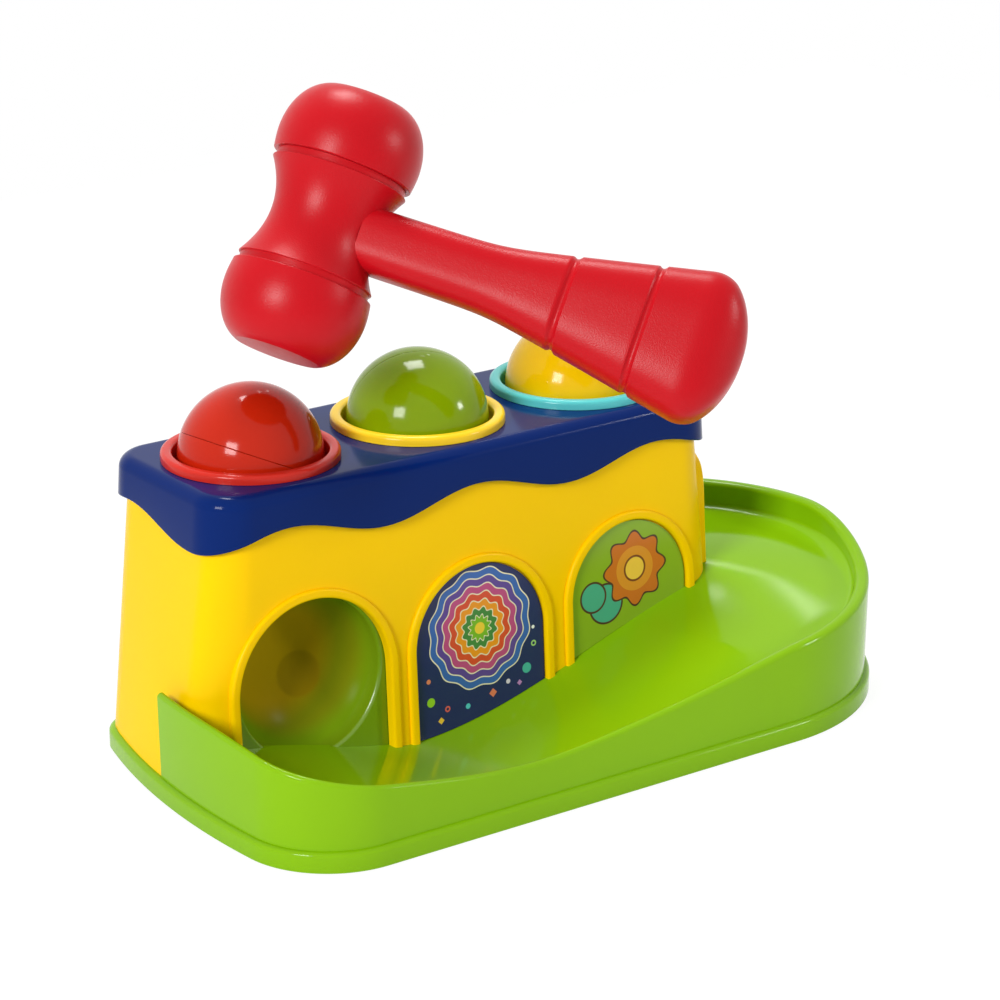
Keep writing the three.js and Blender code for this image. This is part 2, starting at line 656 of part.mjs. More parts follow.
piece('house_shell', house, plastic(0xffc400, 0.25));

// Ball pocket: a concave cup in a plate behind the left arch
const pocketFace = -HOUSE_WALL - FIT;
const pocketBack = pocketFace - POCKET_WALL;
const pocketEdge = archShape(POCKET_ARCH_R + BEAD_WIDTH, POCKET_ARCH_TOP + BEAD_WIDTH, houseFoot);
const pocketPlate = prism(pocketEdge, pocketBack, pocketFace);
const cup = (r, depth, top) => turned([
  ...arc(0, 0, r, depth, -90, 0, ARC_STEPS), [r, top], [0, top],
]).translate(0, POCKET_HEIGHT, pocketFace);
const cupOutside = cup(POCKET_R + POCKET_WALL, POCKET_DEPTH + POCKET_WALL, -POCKET_WALL / 2);
const cupInside = cup(POCKET_R, POCKET_DEPTH, POCKET_WALL);
const pocket = solid(pocketPlate.applyMatrix4(onFront(holes.left)))
  .add(solid(cupOutside.applyMatrix4(onFront(holes.left))))
  .subtract(solid(cupInside.applyMatrix4(onFront(holes.left))))
  .intersect(houseBlock(HOUSE_WALL + FIT, houseFoot, houseTop))
  .subtract(trayRoom);
piece('ball_pocket', pocket, plastic(leafGreen, 0.2));

// Stickers lie in the recesses of the other two arches, clear of the ramp
const stickerFace = -PANEL_RECESS + FIT;
const clearRamp = solid(trayForm(STICKER_FLOOR_GAP, true));
for (const [place, color] of [['middle', 0x1d2b66], ['right', 0x7fb83a]]) {
  const { x, r, top } = arches[place];
  const shape = archShape(r - STICKER_MARGIN, top - STICKER_MARGIN, houseFoot);
  const film = prism(shape, stickerFace, stickerFace + STICKER_THICK);
  const sticker = solid(film.applyMatrix4(onFront(x))).subtract(clearRamp);
  piece(`sticker_${place}`, sticker, plastic(color, 0.35));
}

// Ball chute: a sloping channel from under the left hole to the exit, on two ribs on the deck
const chuteEnd = riserRight - 2 * FIT;
const chuteStart = -houseLength(FLOOR_HIGH) + HOUSE_WALL + CHUTE_LEFT_GAP;
const chuteTop = (x) => FLOOR_HIGH + CHUTE_STEP + CHUTE_SLOPE * (chuteEnd - x);
const channel = new THREE.Shape();
channel.moveTo(CHUTE_FRONT, -CHUTE_WALL);
channel.lineTo(chuteBack, -CHUTE_WALL);
channel.lineTo(chuteBack, CHUTE_SIDE);
channel.lineTo(chuteBack - CHUTE_WALL, CHUTE_SIDE);
channel.lineTo(chuteBack - CHUTE_WALL, 0);
channel.lineTo(CHUTE_FRONT + CHUTE_WALL, 0);
channel.lineTo(CHUTE_FRONT + CHUTE_WALL, CHUTE_WALL);
channel.lineTo(CHUTE_FRONT, CHUTE_WALL);
channel.closePath();
const slope = new THREE.Matrix4().set(
  1, 0, 0, 0,
  0, 1, 0, 0,
  -CHUTE_SLOPE, 0, 1, chuteTop(0),
  0, 0, 0, 1,
);
let chute = solid(prism(channel, chuteStart, chuteEnd).applyMatrix4(alongX).applyMatrix4(slope));
for (const x of RIB_POSITIONS) {
  const height = chuteTop(x) - CHUTE_WALL / 2 - houseFoot;
  const width = chuteBack - CHUTE_FRONT - 4 * CHUTE_WALL;
  const rib = new THREE.BoxGeometry(RIB_THICK, width, height);
  chute = chute.add(solid(rib.translate(x, (chuteBack + CHUTE_FRONT) / 2, houseFoot + height / 2)));
}
piece('ball_chute', chute, plastic(0xf2b705, 0.4));

// Roof lid: a plate with rounded edges, three holes and a wavy skirt
const roofStations = roundedRing(roofLength, roofDepth, ROOF_CORNER, [11, 5, 4]);
const roofRun = [0];
roofStations.forEach((p, i) => {
  const q = roofStations[(i + 1) % roofStations.length];
  roofRun.push(roofRun[i] + Math.hypot(q.x - p.x, q.y - p.y));
});
const roofRings = roofStations.map((p, i) => {
  const phase = (2 * Math.PI * SKIRT_WAVES * roofRun[i]) / roofRun[roofStations.length];
  const drop = SKIRT_MEAN - SKIRT_WAVE * Math.cos(phase);
  const profile = [
    [DRAFT * drop, ROOF_TOP - drop],
    ...arc(-ROOF_FILLET, ROOF_TOP - ROOF_FILLET, ROOF_FILLET, ROOF_FILLET, 0, 90, 4),
    [-ROOF_FILLET - SKIRT_WALL, ROOF_TOP],
    [-ROOF_FILLET - SKIRT_WALL, ROOF_TOP - ROOF_PLATE],
    [-SKIRT_WALL, ROOF_TOP - ROOF_PLATE],
    [DRAFT * drop - SKIRT_WALL, ROOF_TOP - drop],
  ];
  return profile.map(([d, z]) => new THREE.Vector3(p.x + p.nx * d, p.y + p.ny * d, z));
});
const lidInset = ROOF_FILLET + 1;
const lidCorner = ROOF_CORNER - lidInset;
const lidEdge = roundedRing(roofLength - lidInset, roofDepth - lidInset, lidCorner, [1, 1, 4]);
const lidShape = new THREE.Shape(lidEdge.map((p) => new THREE.Vector2(p.x, p.y)));
let roof = solid(loft(roofRings, true)).add(solid(prism(lidShape, ROOF_TOP - ROOF_PLATE, ROOF_TOP)));
for (const x of Object.values(holes)) {
  roof = roof.subtract(solid(turned([
    [0, ROOF_TOP - 2 * ROOF_PLATE], [collarSleeveR + FIT, ROOF_TOP - 2 * ROOF_PLATE],
    [collarSleeveR + FIT, ROOF_TOP + 1], [0, ROOF_TOP + 1],
  ], 32).translate(x, 0, 0)));
}
piece('roof_lid', roof, plastic(0x14307a, 0.18));

// Ring collars in the roof, soft grips under them, and the balls
const lipR = BALL_R - GRIP_BITE;
const lipZ = ballZ - Math.sqrt((BALL_R + FIT) ** 2 - lipR ** 2);
const gripTop = lipZ + GRIP_LIP / 3;
const brimZ = ROOF_TOP + COLLAR_RISE - COLLAR_ROUND;
const collarForm = [
  [collarInR, gripTop + SEAT],
  ...arc(collarInR + COLLAR_ROUND, brimZ, COLLAR_ROUND, COLLAR_ROUND, 180, 90, 2),
  ...arc(collarOutR - COLLAR_ROUND, brimZ, COLLAR_ROUND, COLLAR_ROUND, 90, 0, 2),
  [collarOutR, ROOF_TOP + SEAT],
  [collarSleeveR, ROOF_TOP + SEAT],
  [collarSleeveR, gripTop + SEAT],
  [collarInR, gripTop + SEAT],
];
const gripLow = gripTop - GRIP_THICK;
const gripForm = [
  [collarSleeveR, gripLow], [collarSleeveR, gripTop], [collarInR, gripTop], [lipR, lipZ],
  [lipR, lipZ - GRIP_LIP], [lipR + GRIP_LIP, gripLow], [collarSleeveR, gripLow],
];
const halfForm = [
  ...arc(0, 0, BALL_R, BALL_R, 0, 90, 6),
  ...arc(0, 0, BALL_R - BALL_WALL, BALL_R - BALL_WALL, 90, 0, 4),
  [BALL_R, 0],
];
const looks = {
  left: { ring: 0xe0483a, ball: 0xcc3418, seam: [-0.079, 0.448] },
  middle: { ring: 0xf8cc3c, ball: 0x7da400, seam: [1.665, -0.441] },
  right: { ring: 0x62cccf, ball: 0xf0b400, seam: [0, 0] },
};
for (const [place, { ring, ball, seam }] of Object.entries(looks)) {
  const x = holes[place];
  piece(`ring_${place}`, turned(collarForm).translate(x, 0, 0), plastic(ring, 0.2));
  piece(`grip_${place}`, turned(gripForm).translate(x, 0, 0), plastic(ring, 0.6));
  const whole = new THREE.Group();
  whole.position.set(x, 0, ballZ);
  whole.rotation.set(seam[0], seam[1], 0);
  toy.add(whole);
  const upper = turned(halfForm).translate(0, 0, BALL_SEAM / 2);
  const lower = upper.clone().rotateX(Math.PI);
  piece(`ball_${place}_upper`, upper, plastic(ball, 0.15), whole);
  piece(`ball_${place}_lower`, lower, plastic(ball, 0.15), whole);
}

// Hammer: a hollow barrel, a striking cap on each end, and a hollow handle with a flared grip
const hammer = new THREE.Group();
hammer.rotation.order = 'ZYX';
hammer.rotation.set(HEAD_ROLL, HEAD_PITCH, HEAD_HEADING);
hammer.position.copy(HEAD_CENTRE);
toy.add(hammer);
const hammerRed = 0xe02438;
const halfBarrel = BARREL_LENGTH / 2 - SEAT;
const barrelSide = Array.from({ length: 7 }, (_, i) => {
  const t = (i - 3) / 3;
  return [BARREL_WAIST_R + (BARREL_END_R - BARREL_WAIST_R) * t * t, t * halfBarrel];
});
const spigotR = BARREL_END_R - CAP_WALL;
const socket = halfBarrel - CAP_SPIGOT - FIT;
const barrelForm = [
  ...barrelSide,
  [spigotR, halfBarrel], [spigotR, socket], [BARREL_BORE_R, socket],
  [BARREL_BORE_R, -socket], [spigotR, -socket], [spigotR, -halfBarrel],
  barrelSide[0],
];
const capStart = BARREL_LENGTH / 2;
const capEnd = capStart + CAP_LENGTH;
const capBelly = capStart + CAP_LENGTH * CAP_BELLY_AT;
const capForm = [
  [0, capStart + CAP_WALL], [spigotR - FIT - CAP_WALL, capStart + CAP_WALL],
  [spigotR - FIT - CAP_WALL, capStart - CAP_SPIGOT], [spigotR - FIT, capStart - CAP_SPIGOT],
  [spigotR - FIT, capStart], [CAP_EDGE_R, capStart],
  [CAP_R, capBelly],
  ...arc(CAP_FACE_R, capBelly, CAP_R - CAP_FACE_R, capEnd - capBelly, 15, 90, 5),
  [0, capEnd],
];

// The handle's half height and half width grow from the shaft to the grip, whose end is rounded.
function handleRing(x, shrink) {
  const gripRun = HANDLE_REACH - GRIP_ROUND / 2 - GRIP_START;
  const grip = THREE.MathUtils.clamp((x - GRIP_START) / gripRun, 0, 1);
  const past = Math.max(0, x - HANDLE_REACH + shrink + GRIP_ROUND) / GRIP_ROUND;
  const dome = Math.sqrt(Math.max(0.02, 1 - past ** 2));
  const grooves = GRIP_GROOVES.map((at) => 1 - Math.abs(x - at) / GRIP_GROOVE_HALF);
  const groove = Math.max(0, ...grooves);
  const cut = shrink > 0 ? shrink : GRIP_GROOVE_DEPTH * groove;
  const height = SHAFT_HALF + (GRIP_HALF_HEIGHT - SHAFT_HALF) * grip - cut;
  const width = SHAFT_HALF + (GRIP_HALF_WIDTH - SHAFT_HALF) * grip - cut;
  const bend = (v) => Math.sign(v) * Math.abs(v) ** HANDLE_BOXINESS;
  return Array.from({ length: HANDLE_STEPS }, (_, i) => {
    const a = (2 * Math.PI * i) / HANDLE_STEPS;
    return new THREE.Vector3(x, width * dome * bend(Math.cos(a)), height * dome * bend(Math.sin(a)));
  });
}

const handleRoot = BARREL_WAIST_R - HANDLE_SINK;
const roundStops = [0, 0.4, 0.65, 0.82, 0.94, 1].map((t) => HANDLE_REACH - GRIP_ROUND * (1 - t));
const grooveStops = GRIP_GROOVES.flatMap((x) => [x - GRIP_GROOVE_HALF, x, x + GRIP_GROOVE_HALF]);
const outerStops = [handleRoot, GRIP_START, ...grooveStops, ...roundStops];
const hollowStops = [handleRoot - 1, GRIP_START, ...roundStops.slice(0, 4).map((x) => x - HANDLE_WALL)];
const outer = solid(loft(outerStops.map((x) => handleRing(x, 0))));
const hollow = solid(loft(hollowStops.map((x) => handleRing(x, HANDLE_WALL))));
const barrelRoom = solid(turned([
  [0, -halfBarrel], ...barrelSide.map(([r, z]) => [r + FIT, z]), [0, halfBarrel],
]));
piece('hammer_barrel', turned(barrelForm), plastic(hammerRed, 0.45), hammer);
piece('hammer_cap_top', turned(capForm), plastic(hammerRed, 0.45), hammer);
piece('hammer_cap_bottom', turned(capForm).rotateX(Math.PI), plastic(hammerRed, 0.45), hammer);
piece('hammer_handle', outer.subtract(hollow).subtract(barrelRoom), plastic(hammerRed, 0.45), hammer);

export default toy;
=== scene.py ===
import math

import bmesh
import bpy
import numpy as np
from mathutils.geometry import tessellate_polygon
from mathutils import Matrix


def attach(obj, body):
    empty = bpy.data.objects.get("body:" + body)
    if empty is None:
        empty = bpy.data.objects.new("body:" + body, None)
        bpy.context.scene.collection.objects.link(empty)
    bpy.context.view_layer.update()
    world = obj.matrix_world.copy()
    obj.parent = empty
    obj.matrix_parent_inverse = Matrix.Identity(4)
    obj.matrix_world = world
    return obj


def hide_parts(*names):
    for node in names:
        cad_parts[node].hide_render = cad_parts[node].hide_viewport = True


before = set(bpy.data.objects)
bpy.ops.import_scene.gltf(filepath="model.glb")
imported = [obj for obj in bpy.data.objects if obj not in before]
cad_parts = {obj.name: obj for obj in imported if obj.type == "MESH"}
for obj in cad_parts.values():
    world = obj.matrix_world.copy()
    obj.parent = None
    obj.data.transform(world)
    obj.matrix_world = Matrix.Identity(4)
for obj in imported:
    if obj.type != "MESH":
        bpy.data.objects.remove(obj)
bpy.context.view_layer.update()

scene = bpy.context.scene
scene.view_settings.view_transform = "Standard"

# Camera: a long lens in front of the toy, to the left of it and a little above the roof.
# The frame is square, so the lens alone sets how much of the toy's surroundings shows.
CAMERA_PLACE = (-0.62367, -0.89615, 0.45011)
CAMERA_HEADING = -36.197
CAMERA_DOWN = 19.22
CAMERA_LENS = 131.4
CAMERA_SENSOR = 36.0
CAMERA_NEAR = 0.05
camera = bpy.data.objects.new("camera", bpy.data.cameras.new("camera"))
camera.data.sensor_width = CAMERA_SENSOR
camera.data.lens = CAMERA_LENS
camera.data.clip_start = CAMERA_NEAR
camera.location = CAMERA_PLACE
camera.rotation_euler = (math.radians(90 - CAMERA_DOWN), 0, math.radians(CAMERA_HEADING))
scene.collection.objects.link(camera)
scene.camera = camera

# Studio: a white room as the camera and reflections see it, but much dimmer as a light. Three soft
# windows light the toy, two small lamps make the glints on its track, and a paper floor takes its shadow.
ROOM_LIGHT = 0.26
PAPER_WHITE = 0.86
PAPER_GLOW = 1.08
PAPER_GLOW_SHARE = 0.86
PAPER_LEFT, PAPER_RIGHT = -0.7, 0.75
PAPER_FRONT, PAPER_BACK = -0.75, 0.65
PAPER_Z = -0.0004
LAMPS = (
    ("left_window", (-1.15, -0.5, 0.66), (0.0, -0.02, 0.08), 0.4, 14.0),
    ("right_fill", (0.85, -0.85, 0.5), (0.03, -0.03, 0.08), 0.18, 4.0),
    ("high_window", (0.22, 0.42, 1.25), (0.05, -0.02, 0.06), 0.4, 10.5),
    ("ramp_glint", (0.534, 0.622, 0.927), (0.088, -0.042, 0.032), 0.035, 0.05),
    ("bowl_glint", (0.673, 0.654, 0.807), (0.105, -0.065, 0.032), 0.035, 0.04),
)


def arithmetic(tree, operation, *values):
    """One arithmetic node on sockets or plain numbers."""
    node = tree.nodes.new("ShaderNodeMath")
    node.operation = operation
    for socket, value in zip(node.inputs, values):
        if isinstance(value, (int, float)):
            socket.default_value = value
        else:
            tree.links.new(value, socket)
    return node.outputs[0]


def white_to_the_eye(tree):
    """One where a ray comes from the camera, a reflection or a clear body, and zero elsewhere."""
    path = tree.nodes.new("ShaderNodeLightPath").outputs
    mirrored = arithmetic(tree, "MAXIMUM", path["Is Camera Ray"], path["Is Glossy Ray"])
    return arithmetic(tree, "MAXIMUM", mirrored, path["Is Transmission Ray"])


def blend_shaders(tree, share, first, second, output):
    """Mixes two shaders, with the second one's share, and connects the mix to an output."""
    mix = tree.nodes.new("ShaderNodeMixShader")
    tree.links.new(share, mix.inputs[0])
    tree.links.new(first.outputs[0], mix.inputs[1])
    tree.links.new(second.outputs[0], mix.inputs[2])
    tree.links.new(mix.outputs[0], output.inputs[0])


world = bpy.data.worlds.new("studio")
scene.world = world
world.use_nodes = True
sky = world.node_tree
sky.nodes.clear()
room = sky.nodes.new("ShaderNodeBackground")
room.inputs["Color"].default_value = (1, 1, 1, 1)
room.inputs["Strength"].default_value = ROOM_LIGHT
seen = sky.nodes.new("ShaderNodeBackground")
seen.inputs["Color"].default_value = (1, 1, 1, 1)
seen.inputs["Strength"].default_value = 1.0
blend_shaders(sky, white_to_the_eye(sky), room, seen, sky.nodes.new("ShaderNodeOutputWorld"))

paper_corners = [
    (PAPER_LEFT, PAPER_FRONT, PAPER_Z), (PAPER_RIGHT, PAPER_FRONT, PAPER_Z),
    (PAPER_RIGHT, PAPER_BACK, PAPER_Z), (PAPER_LEFT, PAPER_BACK, PAPER_Z),
]
floor_mesh = bpy.data.meshes.new("floor")
floor_mesh.from_pydata(paper_corners, [], [(0, 1, 2, 3)])
floor = bpy.data.objects.new("floor", floor_mesh)
scene.collection.objects.link(floor)
paper = bpy.data.materials.new("white_paper")
paper.use_nodes = True
sheet = paper.node_tree
sheet.nodes.clear()
matt = sheet.nodes.new("ShaderNodeBsdfDiffuse")
matt.inputs["Color"].default_value = (PAPER_WHITE, PAPER_WHITE, PAPER_WHITE, 1)
paper_glow = sheet.nodes.new("ShaderNodeEmission")
paper_glow.inputs["Strength"].default_value = PAPER_GLOW
glow_share = arithmetic(sheet, "MULTIPLY", white_to_the_eye(sheet), PAPER_GLOW_SHARE)
blend_shaders(sheet, glow_share, matt, paper_glow, sheet.nodes.new("ShaderNodeOutputMaterial"))
floor_mesh.materials.append(paper)

for name, place, aim, size, power in LAMPS:
    lamp = bpy.data.lights.new(name, "AREA")
    lamp.shape = "SQUARE"
    lamp.size = size
    lamp.energy = power
    holder = bpy.data.objects.new(name, lamp)
    holder.location = place
    away = np.array(place) - np.array(aim)
    flat = math.hypot(away[0], away[1])
    holder.rotation_euler = (math.atan2(flat, away[2]), 0, math.atan2(away[0], -away[1]))
    scene.collection.objects.link(holder)

# Base tray: the green moulding that everything stands on, in glossy plastic. A foot flange runs round it,
# and a track with a rolled rim climbs from the open arch along the front to the bowl at the right end.
MM = 0.001
ROOF_TOP = 96.4
DRAFT = 0.06
HOUSE_HALF_LENGTH = 92.0
HOUSE_HALF_DEPTH = 30.0
FOOT = 4.8
LEDGE = 1.8
LEFT_LEDGE = 11.57
TRACK_REACH = 60.4
BOWL_REACH = 47.2
BOWL_TURN = 35.0
BOW_R = 265.0
BOW_Y = -45.0
LEFT_CORNER = 30.0
BACK_CORNER = 14.0
TRAY_LEFT_END = -14.0
TRAY_BACK_END = 12.0
BOW_STEPS = 24
TURN_STEPS = 28
FRONT_STEPS = 60
BOWL_STEPS = 100
TAIL_STEPS = 5
BEND_STEPS = 16
SIDE_STEPS = 12
LEFT_STEPS = BOW_STEPS + TURN_STEPS


def house_length(z):
    """Half length of the house at a height: the walls lean in by the mould's draft."""
    return HOUSE_HALF_LENGTH + DRAFT * (ROOF_TOP - z)


def house_depth(z):
    """Half depth of the house at a height, with the same draft."""
    return HOUSE_HALF_DEPTH + DRAFT * (ROOF_TOP - z)


def ease(value, low, high):
    """Smooth step: zero below low, one above high, three t squared less two t cubed between."""
    t = np.clip((np.asarray(value, float) - low) / (high - low), 0, 1)
    return t * t * (3 - 2 * t)


def mesh_piece(name, points, faces, body, material, sharp=32, nodes=()):
    """One piece from points in millimetres and faces; edges steeper than sharp degrees stay crisp."""
    mesh = bpy.data.meshes.new(name)
    mesh.from_pydata((np.asarray(points, float) * MM).tolist(), [], faces)
    mesh.validate()
    mesh.shade_smooth()
    mesh.set_sharp_from_angle(angle=math.radians(sharp))
    mesh.materials.append(material)
    piece = bpy.data.objects.new(name, mesh)
    scene.collection.objects.link(piece)
    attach(piece, body)
    if nodes:
        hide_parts(*nodes)
    return piece


def grid_faces(rows, cols, wrap_rows=False, wrap_cols=True, first=0, cap=False):
    """Quads between neighbours of a grid of points, rows by columns; cap closes the two end rows."""
    r = np.arange(rows if wrap_rows else rows - 1)
    c = np.arange(cols if wrap_cols else cols - 1)
    r, c = np.meshgrid(r, c, indexing="ij")
    r2, c2 = (r + 1) % rows, (c + 1) % cols
    quads = np.stack([r * cols + c, r * cols + c2, r2 * cols + c2, r2 * cols + c], -1).reshape(-1, 4)
    faces = (quads + first).tolist()
    if cap:
        faces.append(list(range(first + cols - 1, first - 1, -1)))
        faces.append(list(range(first + (rows - 1) * cols, first + rows * cols)))
    return faces


def arc_steps(start, end, count):
    """Cosines and sines of evenly spaced angles, in degrees, from start to end."""
    angles = np.radians(np.linspace(start, end, count))
    return np.stack([np.cos(angles), np.sin(angles)], -1)


def arc_stretch(cx, cy, radius, start, end, count):
    """Points and inward normals on an arc whose angle is counted from the left, end left out."""
    a = np.linspace(start, end, count, endpoint=False)
    normal = np.stack([np.cos(a), -np.sin(a)], -1)
    return np.array([cx, cy]) - radius * normal, normal, a


# The base's outline: a wide bow at the left, a round corner, the straight front, half a circle round the
# bowl and a short straight tail, closed by a back corner and the rest of the bow. The run counts
# millimetres along the track from the middle of the front, and goes more slowly round the bowl.
base_back = house_depth(FOOT) + LEDGE
base_front = -house_depth(FOOT) - TRACK_REACH
base_left = -house_length(FOOT) - LEFT_LEDGE
bowl_r = (base_back - base_front) / 2
bowl_x = house_length(FOOT) + BOWL_REACH - bowl_r
bowl_y = base_back - bowl_r
bow_x = base_left + BOW_R
corner_y = base_front + LEFT_CORNER
corner_x = bow_x - math.sqrt((BOW_R - LEFT_CORNER) ** 2 - (corner_y - BOW_Y) ** 2)
front_turn = math.atan2(corner_y - BOW_Y, bow_x - corner_x)
start_turn = math.asin((TRAY_LEFT_END - BOW_Y) / BOW_R)
back_y = base_back - BACK_CORNER
back_x = bow_x - math.sqrt((BOW_R - BACK_CORNER) ** 2 - (back_y - BOW_Y) ** 2)
back_turn = math.atan2(back_y - BOW_Y, bow_x - back_x)
corner_run = LEFT_CORNER * (math.pi / 2 + front_turn)
tail_end = bowl_x - TRAY_BACK_END
bow_p, bow_n, bow_a = arc_stretch(bow_x, BOW_Y, BOW_R, start_turn, front_turn, BOW_STEPS)
bow_run = corner_x - corner_run - BOW_R * (bow_a - front_turn)
turn_p, turn_n, _ = arc_stretch(corner_x, corner_y, LEFT_CORNER, front_turn, -math.pi / 2, TURN_STEPS)
turn_run = corner_x - corner_run * (1 - np.arange(TURN_STEPS) / TURN_STEPS)
front_run = np.linspace(corner_x, bowl_x, FRONT_STEPS, endpoint=False)
front_p = np.stack([front_run, np.full(FRONT_STEPS, base_front)], -1)
front_n = np.tile([0.0, 1.0], (FRONT_STEPS, 1))
bowl_a = np.linspace(0, math.pi, BOWL_STEPS)
bowl_n = np.stack([-np.sin(bowl_a), np.cos(bowl_a)], -1)
bowl_p = np.array([bowl_x, bowl_y]) - bowl_r * bowl_n
bowl_run = bowl_x + BOWL_TURN * bowl_a
tail_x = np.linspace(bowl_x, tail_end, TAIL_STEPS + 1)[1:]
tail_p = np.stack([tail_x, np.full(TAIL_STEPS, base_back)], -1)
tail_n = np.tile([0.0, -1.0], (TAIL_STEPS, 1))
tail_run = np.full(TAIL_STEPS, bowl_run[-1])
track_p = np.concatenate([bow_p, turn_p, front_p, bowl_p, tail_p])
track_n = np.concatenate([bow_n, turn_n, front_n, bowl_n, tail_n])
track_run = np.concatenate([bow_run, turn_run, front_run, bowl_run, tail_run])
bend_p, bend_n, _ = arc_stretch(back_x, back_y, BACK_CORNER, math.pi / 2, back_turn, BEND_STEPS)
side_p, side_n, _ = arc_stretch(bow_x, BOW_Y, BOW_R, back_turn, start_turn, SIDE_STEPS)
outline_p = np.concatenate([track_p, bend_p, side_p])
outline_n = np.concatenate([track_n, bend_n, side_n])

# The track floor's inner edge runs hidden under the house walls, one point for each station.
FLOOR_LOW = 4.5
FLOOR_HIGH = 38.0
RISER_FRONT_INSET = 5.5
RISER_RIGHT_INSET = 7.9
RISER_BACK_INSET = 9.8
RISER_LEFT_INSET = 1.0
RISER_SKEW = 3.0
RISER_RUN_IN = 30.0
BOWL_SIDE_TURN = 5 * math.pi / 6
BOWL_BACK_TURN = math.pi / 5
riser_front = -house_depth(FOOT) + RISER_FRONT_INSET
riser_right = house_length(FLOOR_HIGH) - RISER_RIGHT_INSET
riser_back = base_back - RISER_BACK_INSET
riser_left = -house_length(FOOT) + RISER_LEFT_INSET
riser_corner = riser_left + RISER_SKEW
riser_turn = riser_right - RISER_RUN_IN
left_t = np.arange(LEFT_STEPS) / LEFT_STEPS
left_q = np.stack([
    riser_left + RISER_SKEW * left_t,
    TRAY_LEFT_END + (riser_front - TRAY_LEFT_END) * left_t,
], -1)
front_t = (front_run - corner_x) / (bowl_x - corner_x)
front_q = np.stack([
    riser_corner + (riser_turn - riser_corner) * front_t,
    np.full(FRONT_STEPS, riser_front),
], -1)
along = (RISER_RUN_IN + riser_back - riser_front) * bowl_a / BOWL_SIDE_TURN
bowl_q = np.stack([
    riser_turn + np.minimum(along, RISER_RUN_IN),
    riser_front + np.maximum(0, along - RISER_RUN_IN),
], -1)
past = bowl_a > BOWL_SIDE_TURN
round_t = (bowl_a - BOWL_SIDE_TURN) / BOWL_BACK_TURN
bowl_q[past, 0] = (riser_right + (tail_end - riser_right) * round_t)[past]
bowl_q[past, 1] = riser_back
tail_q = np.stack([
    np.linspace(bowl_q[-1, 0], tail_end, TAIL_STEPS + 1)[1:],
    np.full(TAIL_STEPS, riser_back),
], -1)
track_q = np.concatenate([left_q, front_q, bowl_q, tail_q])
heading = np.gradient(track_q, axis=0)
heading /= np.linalg.norm(heading, axis=1)[:, None]
riser_n = np.stack([-heading[:, 1], heading[:, 0]], -1)

# Heights and sections of the track
RAMP_FOOT = -12.0
RAMP_HEAD = 142.0
SWEEP_RISE = 13.0
SWEEP_FOOT = 4.0
SWEEP_HEAD = 84.0
RIM_LOW = 18.0
RIM_DIP = -20.0
RIM_LEFT_RISE = 15.8
RIM_LEFT_RUN = 130.0
RIM_RAMP_RISE = 21.3
RIM_RAMP_RUN = 133.0
RIM_RAMP_POWER = 1.4
RIM_BOWL_RISE = 8.7
RIM_BOWL_RUN = (108.0, 136.0)
RIM_WIDTH = 2.6
RIM_WIDTH_GAIN = 2.2
RIM_INSET = 1.2
RIM_CURL = 2.0
RIM_CURL_SHARE = 0.4
RIM_SPLIT = 0.01
RIM_LEAN = 0.4
FLOOR_FILLET = 3.0
FLOOR_FILLET_SHARE = 0.45
FLOOR_FILLET_ROOM = 0.6
FLOOR_WALL = 2.2
FLOOR_UNDER = 2.5
FLOOR_ROWS = 7
BOWL_SPREAD = 2.0
BOWL_SPREAD_RUN = (95, 150)
BOWL_SPREAD_ROOM = (14, 24)
SECTION_SPARE = 8.8
TRAY_EDGE_Z = 2.3
TRAY_WALL_IN = 4.0
FLANGE_TOP = 6.3
FLANGE_ROUND = 1.7
FLANGE_WIDTH = 4.4
NOISE_MIDDLE = 0.5
RUB_MIDDLE = 0.42
LEAST_ROUGHNESS = 0.04
FLOW_HEIGHT = 0.6


def floor_height(run):
    """Track floor: lowest beside the open arch, with a smooth climb to the bowl and a sweep up to
    the left."""
    climb = (FLOOR_HIGH - FLOOR_LOW) * ease(run, RAMP_FOOT, RAMP_HEAD)
    return FLOOR_LOW + climb + SWEEP_RISE * ease(-np.asarray(run), SWEEP_FOOT, SWEEP_HEAD)


def rim_height(run):
    """Rim: a dip in the middle of the front, rising to the left end, along the ramp and round the bowl."""
    left = RIM_LOW + RIM_LEFT_RISE * ease(RIM_DIP - run, 0, RIM_LEFT_RUN)
    climb = np.clip((run - RIM_DIP) / RIM_RAMP_RUN, 0, 1) ** RIM_RAMP_POWER
    right = RIM_LOW + RIM_RAMP_RISE * climb + RIM_BOWL_RISE * ease(run, *RIM_BOWL_RUN)
    return np.where(run < RIM_DIP, left, right)


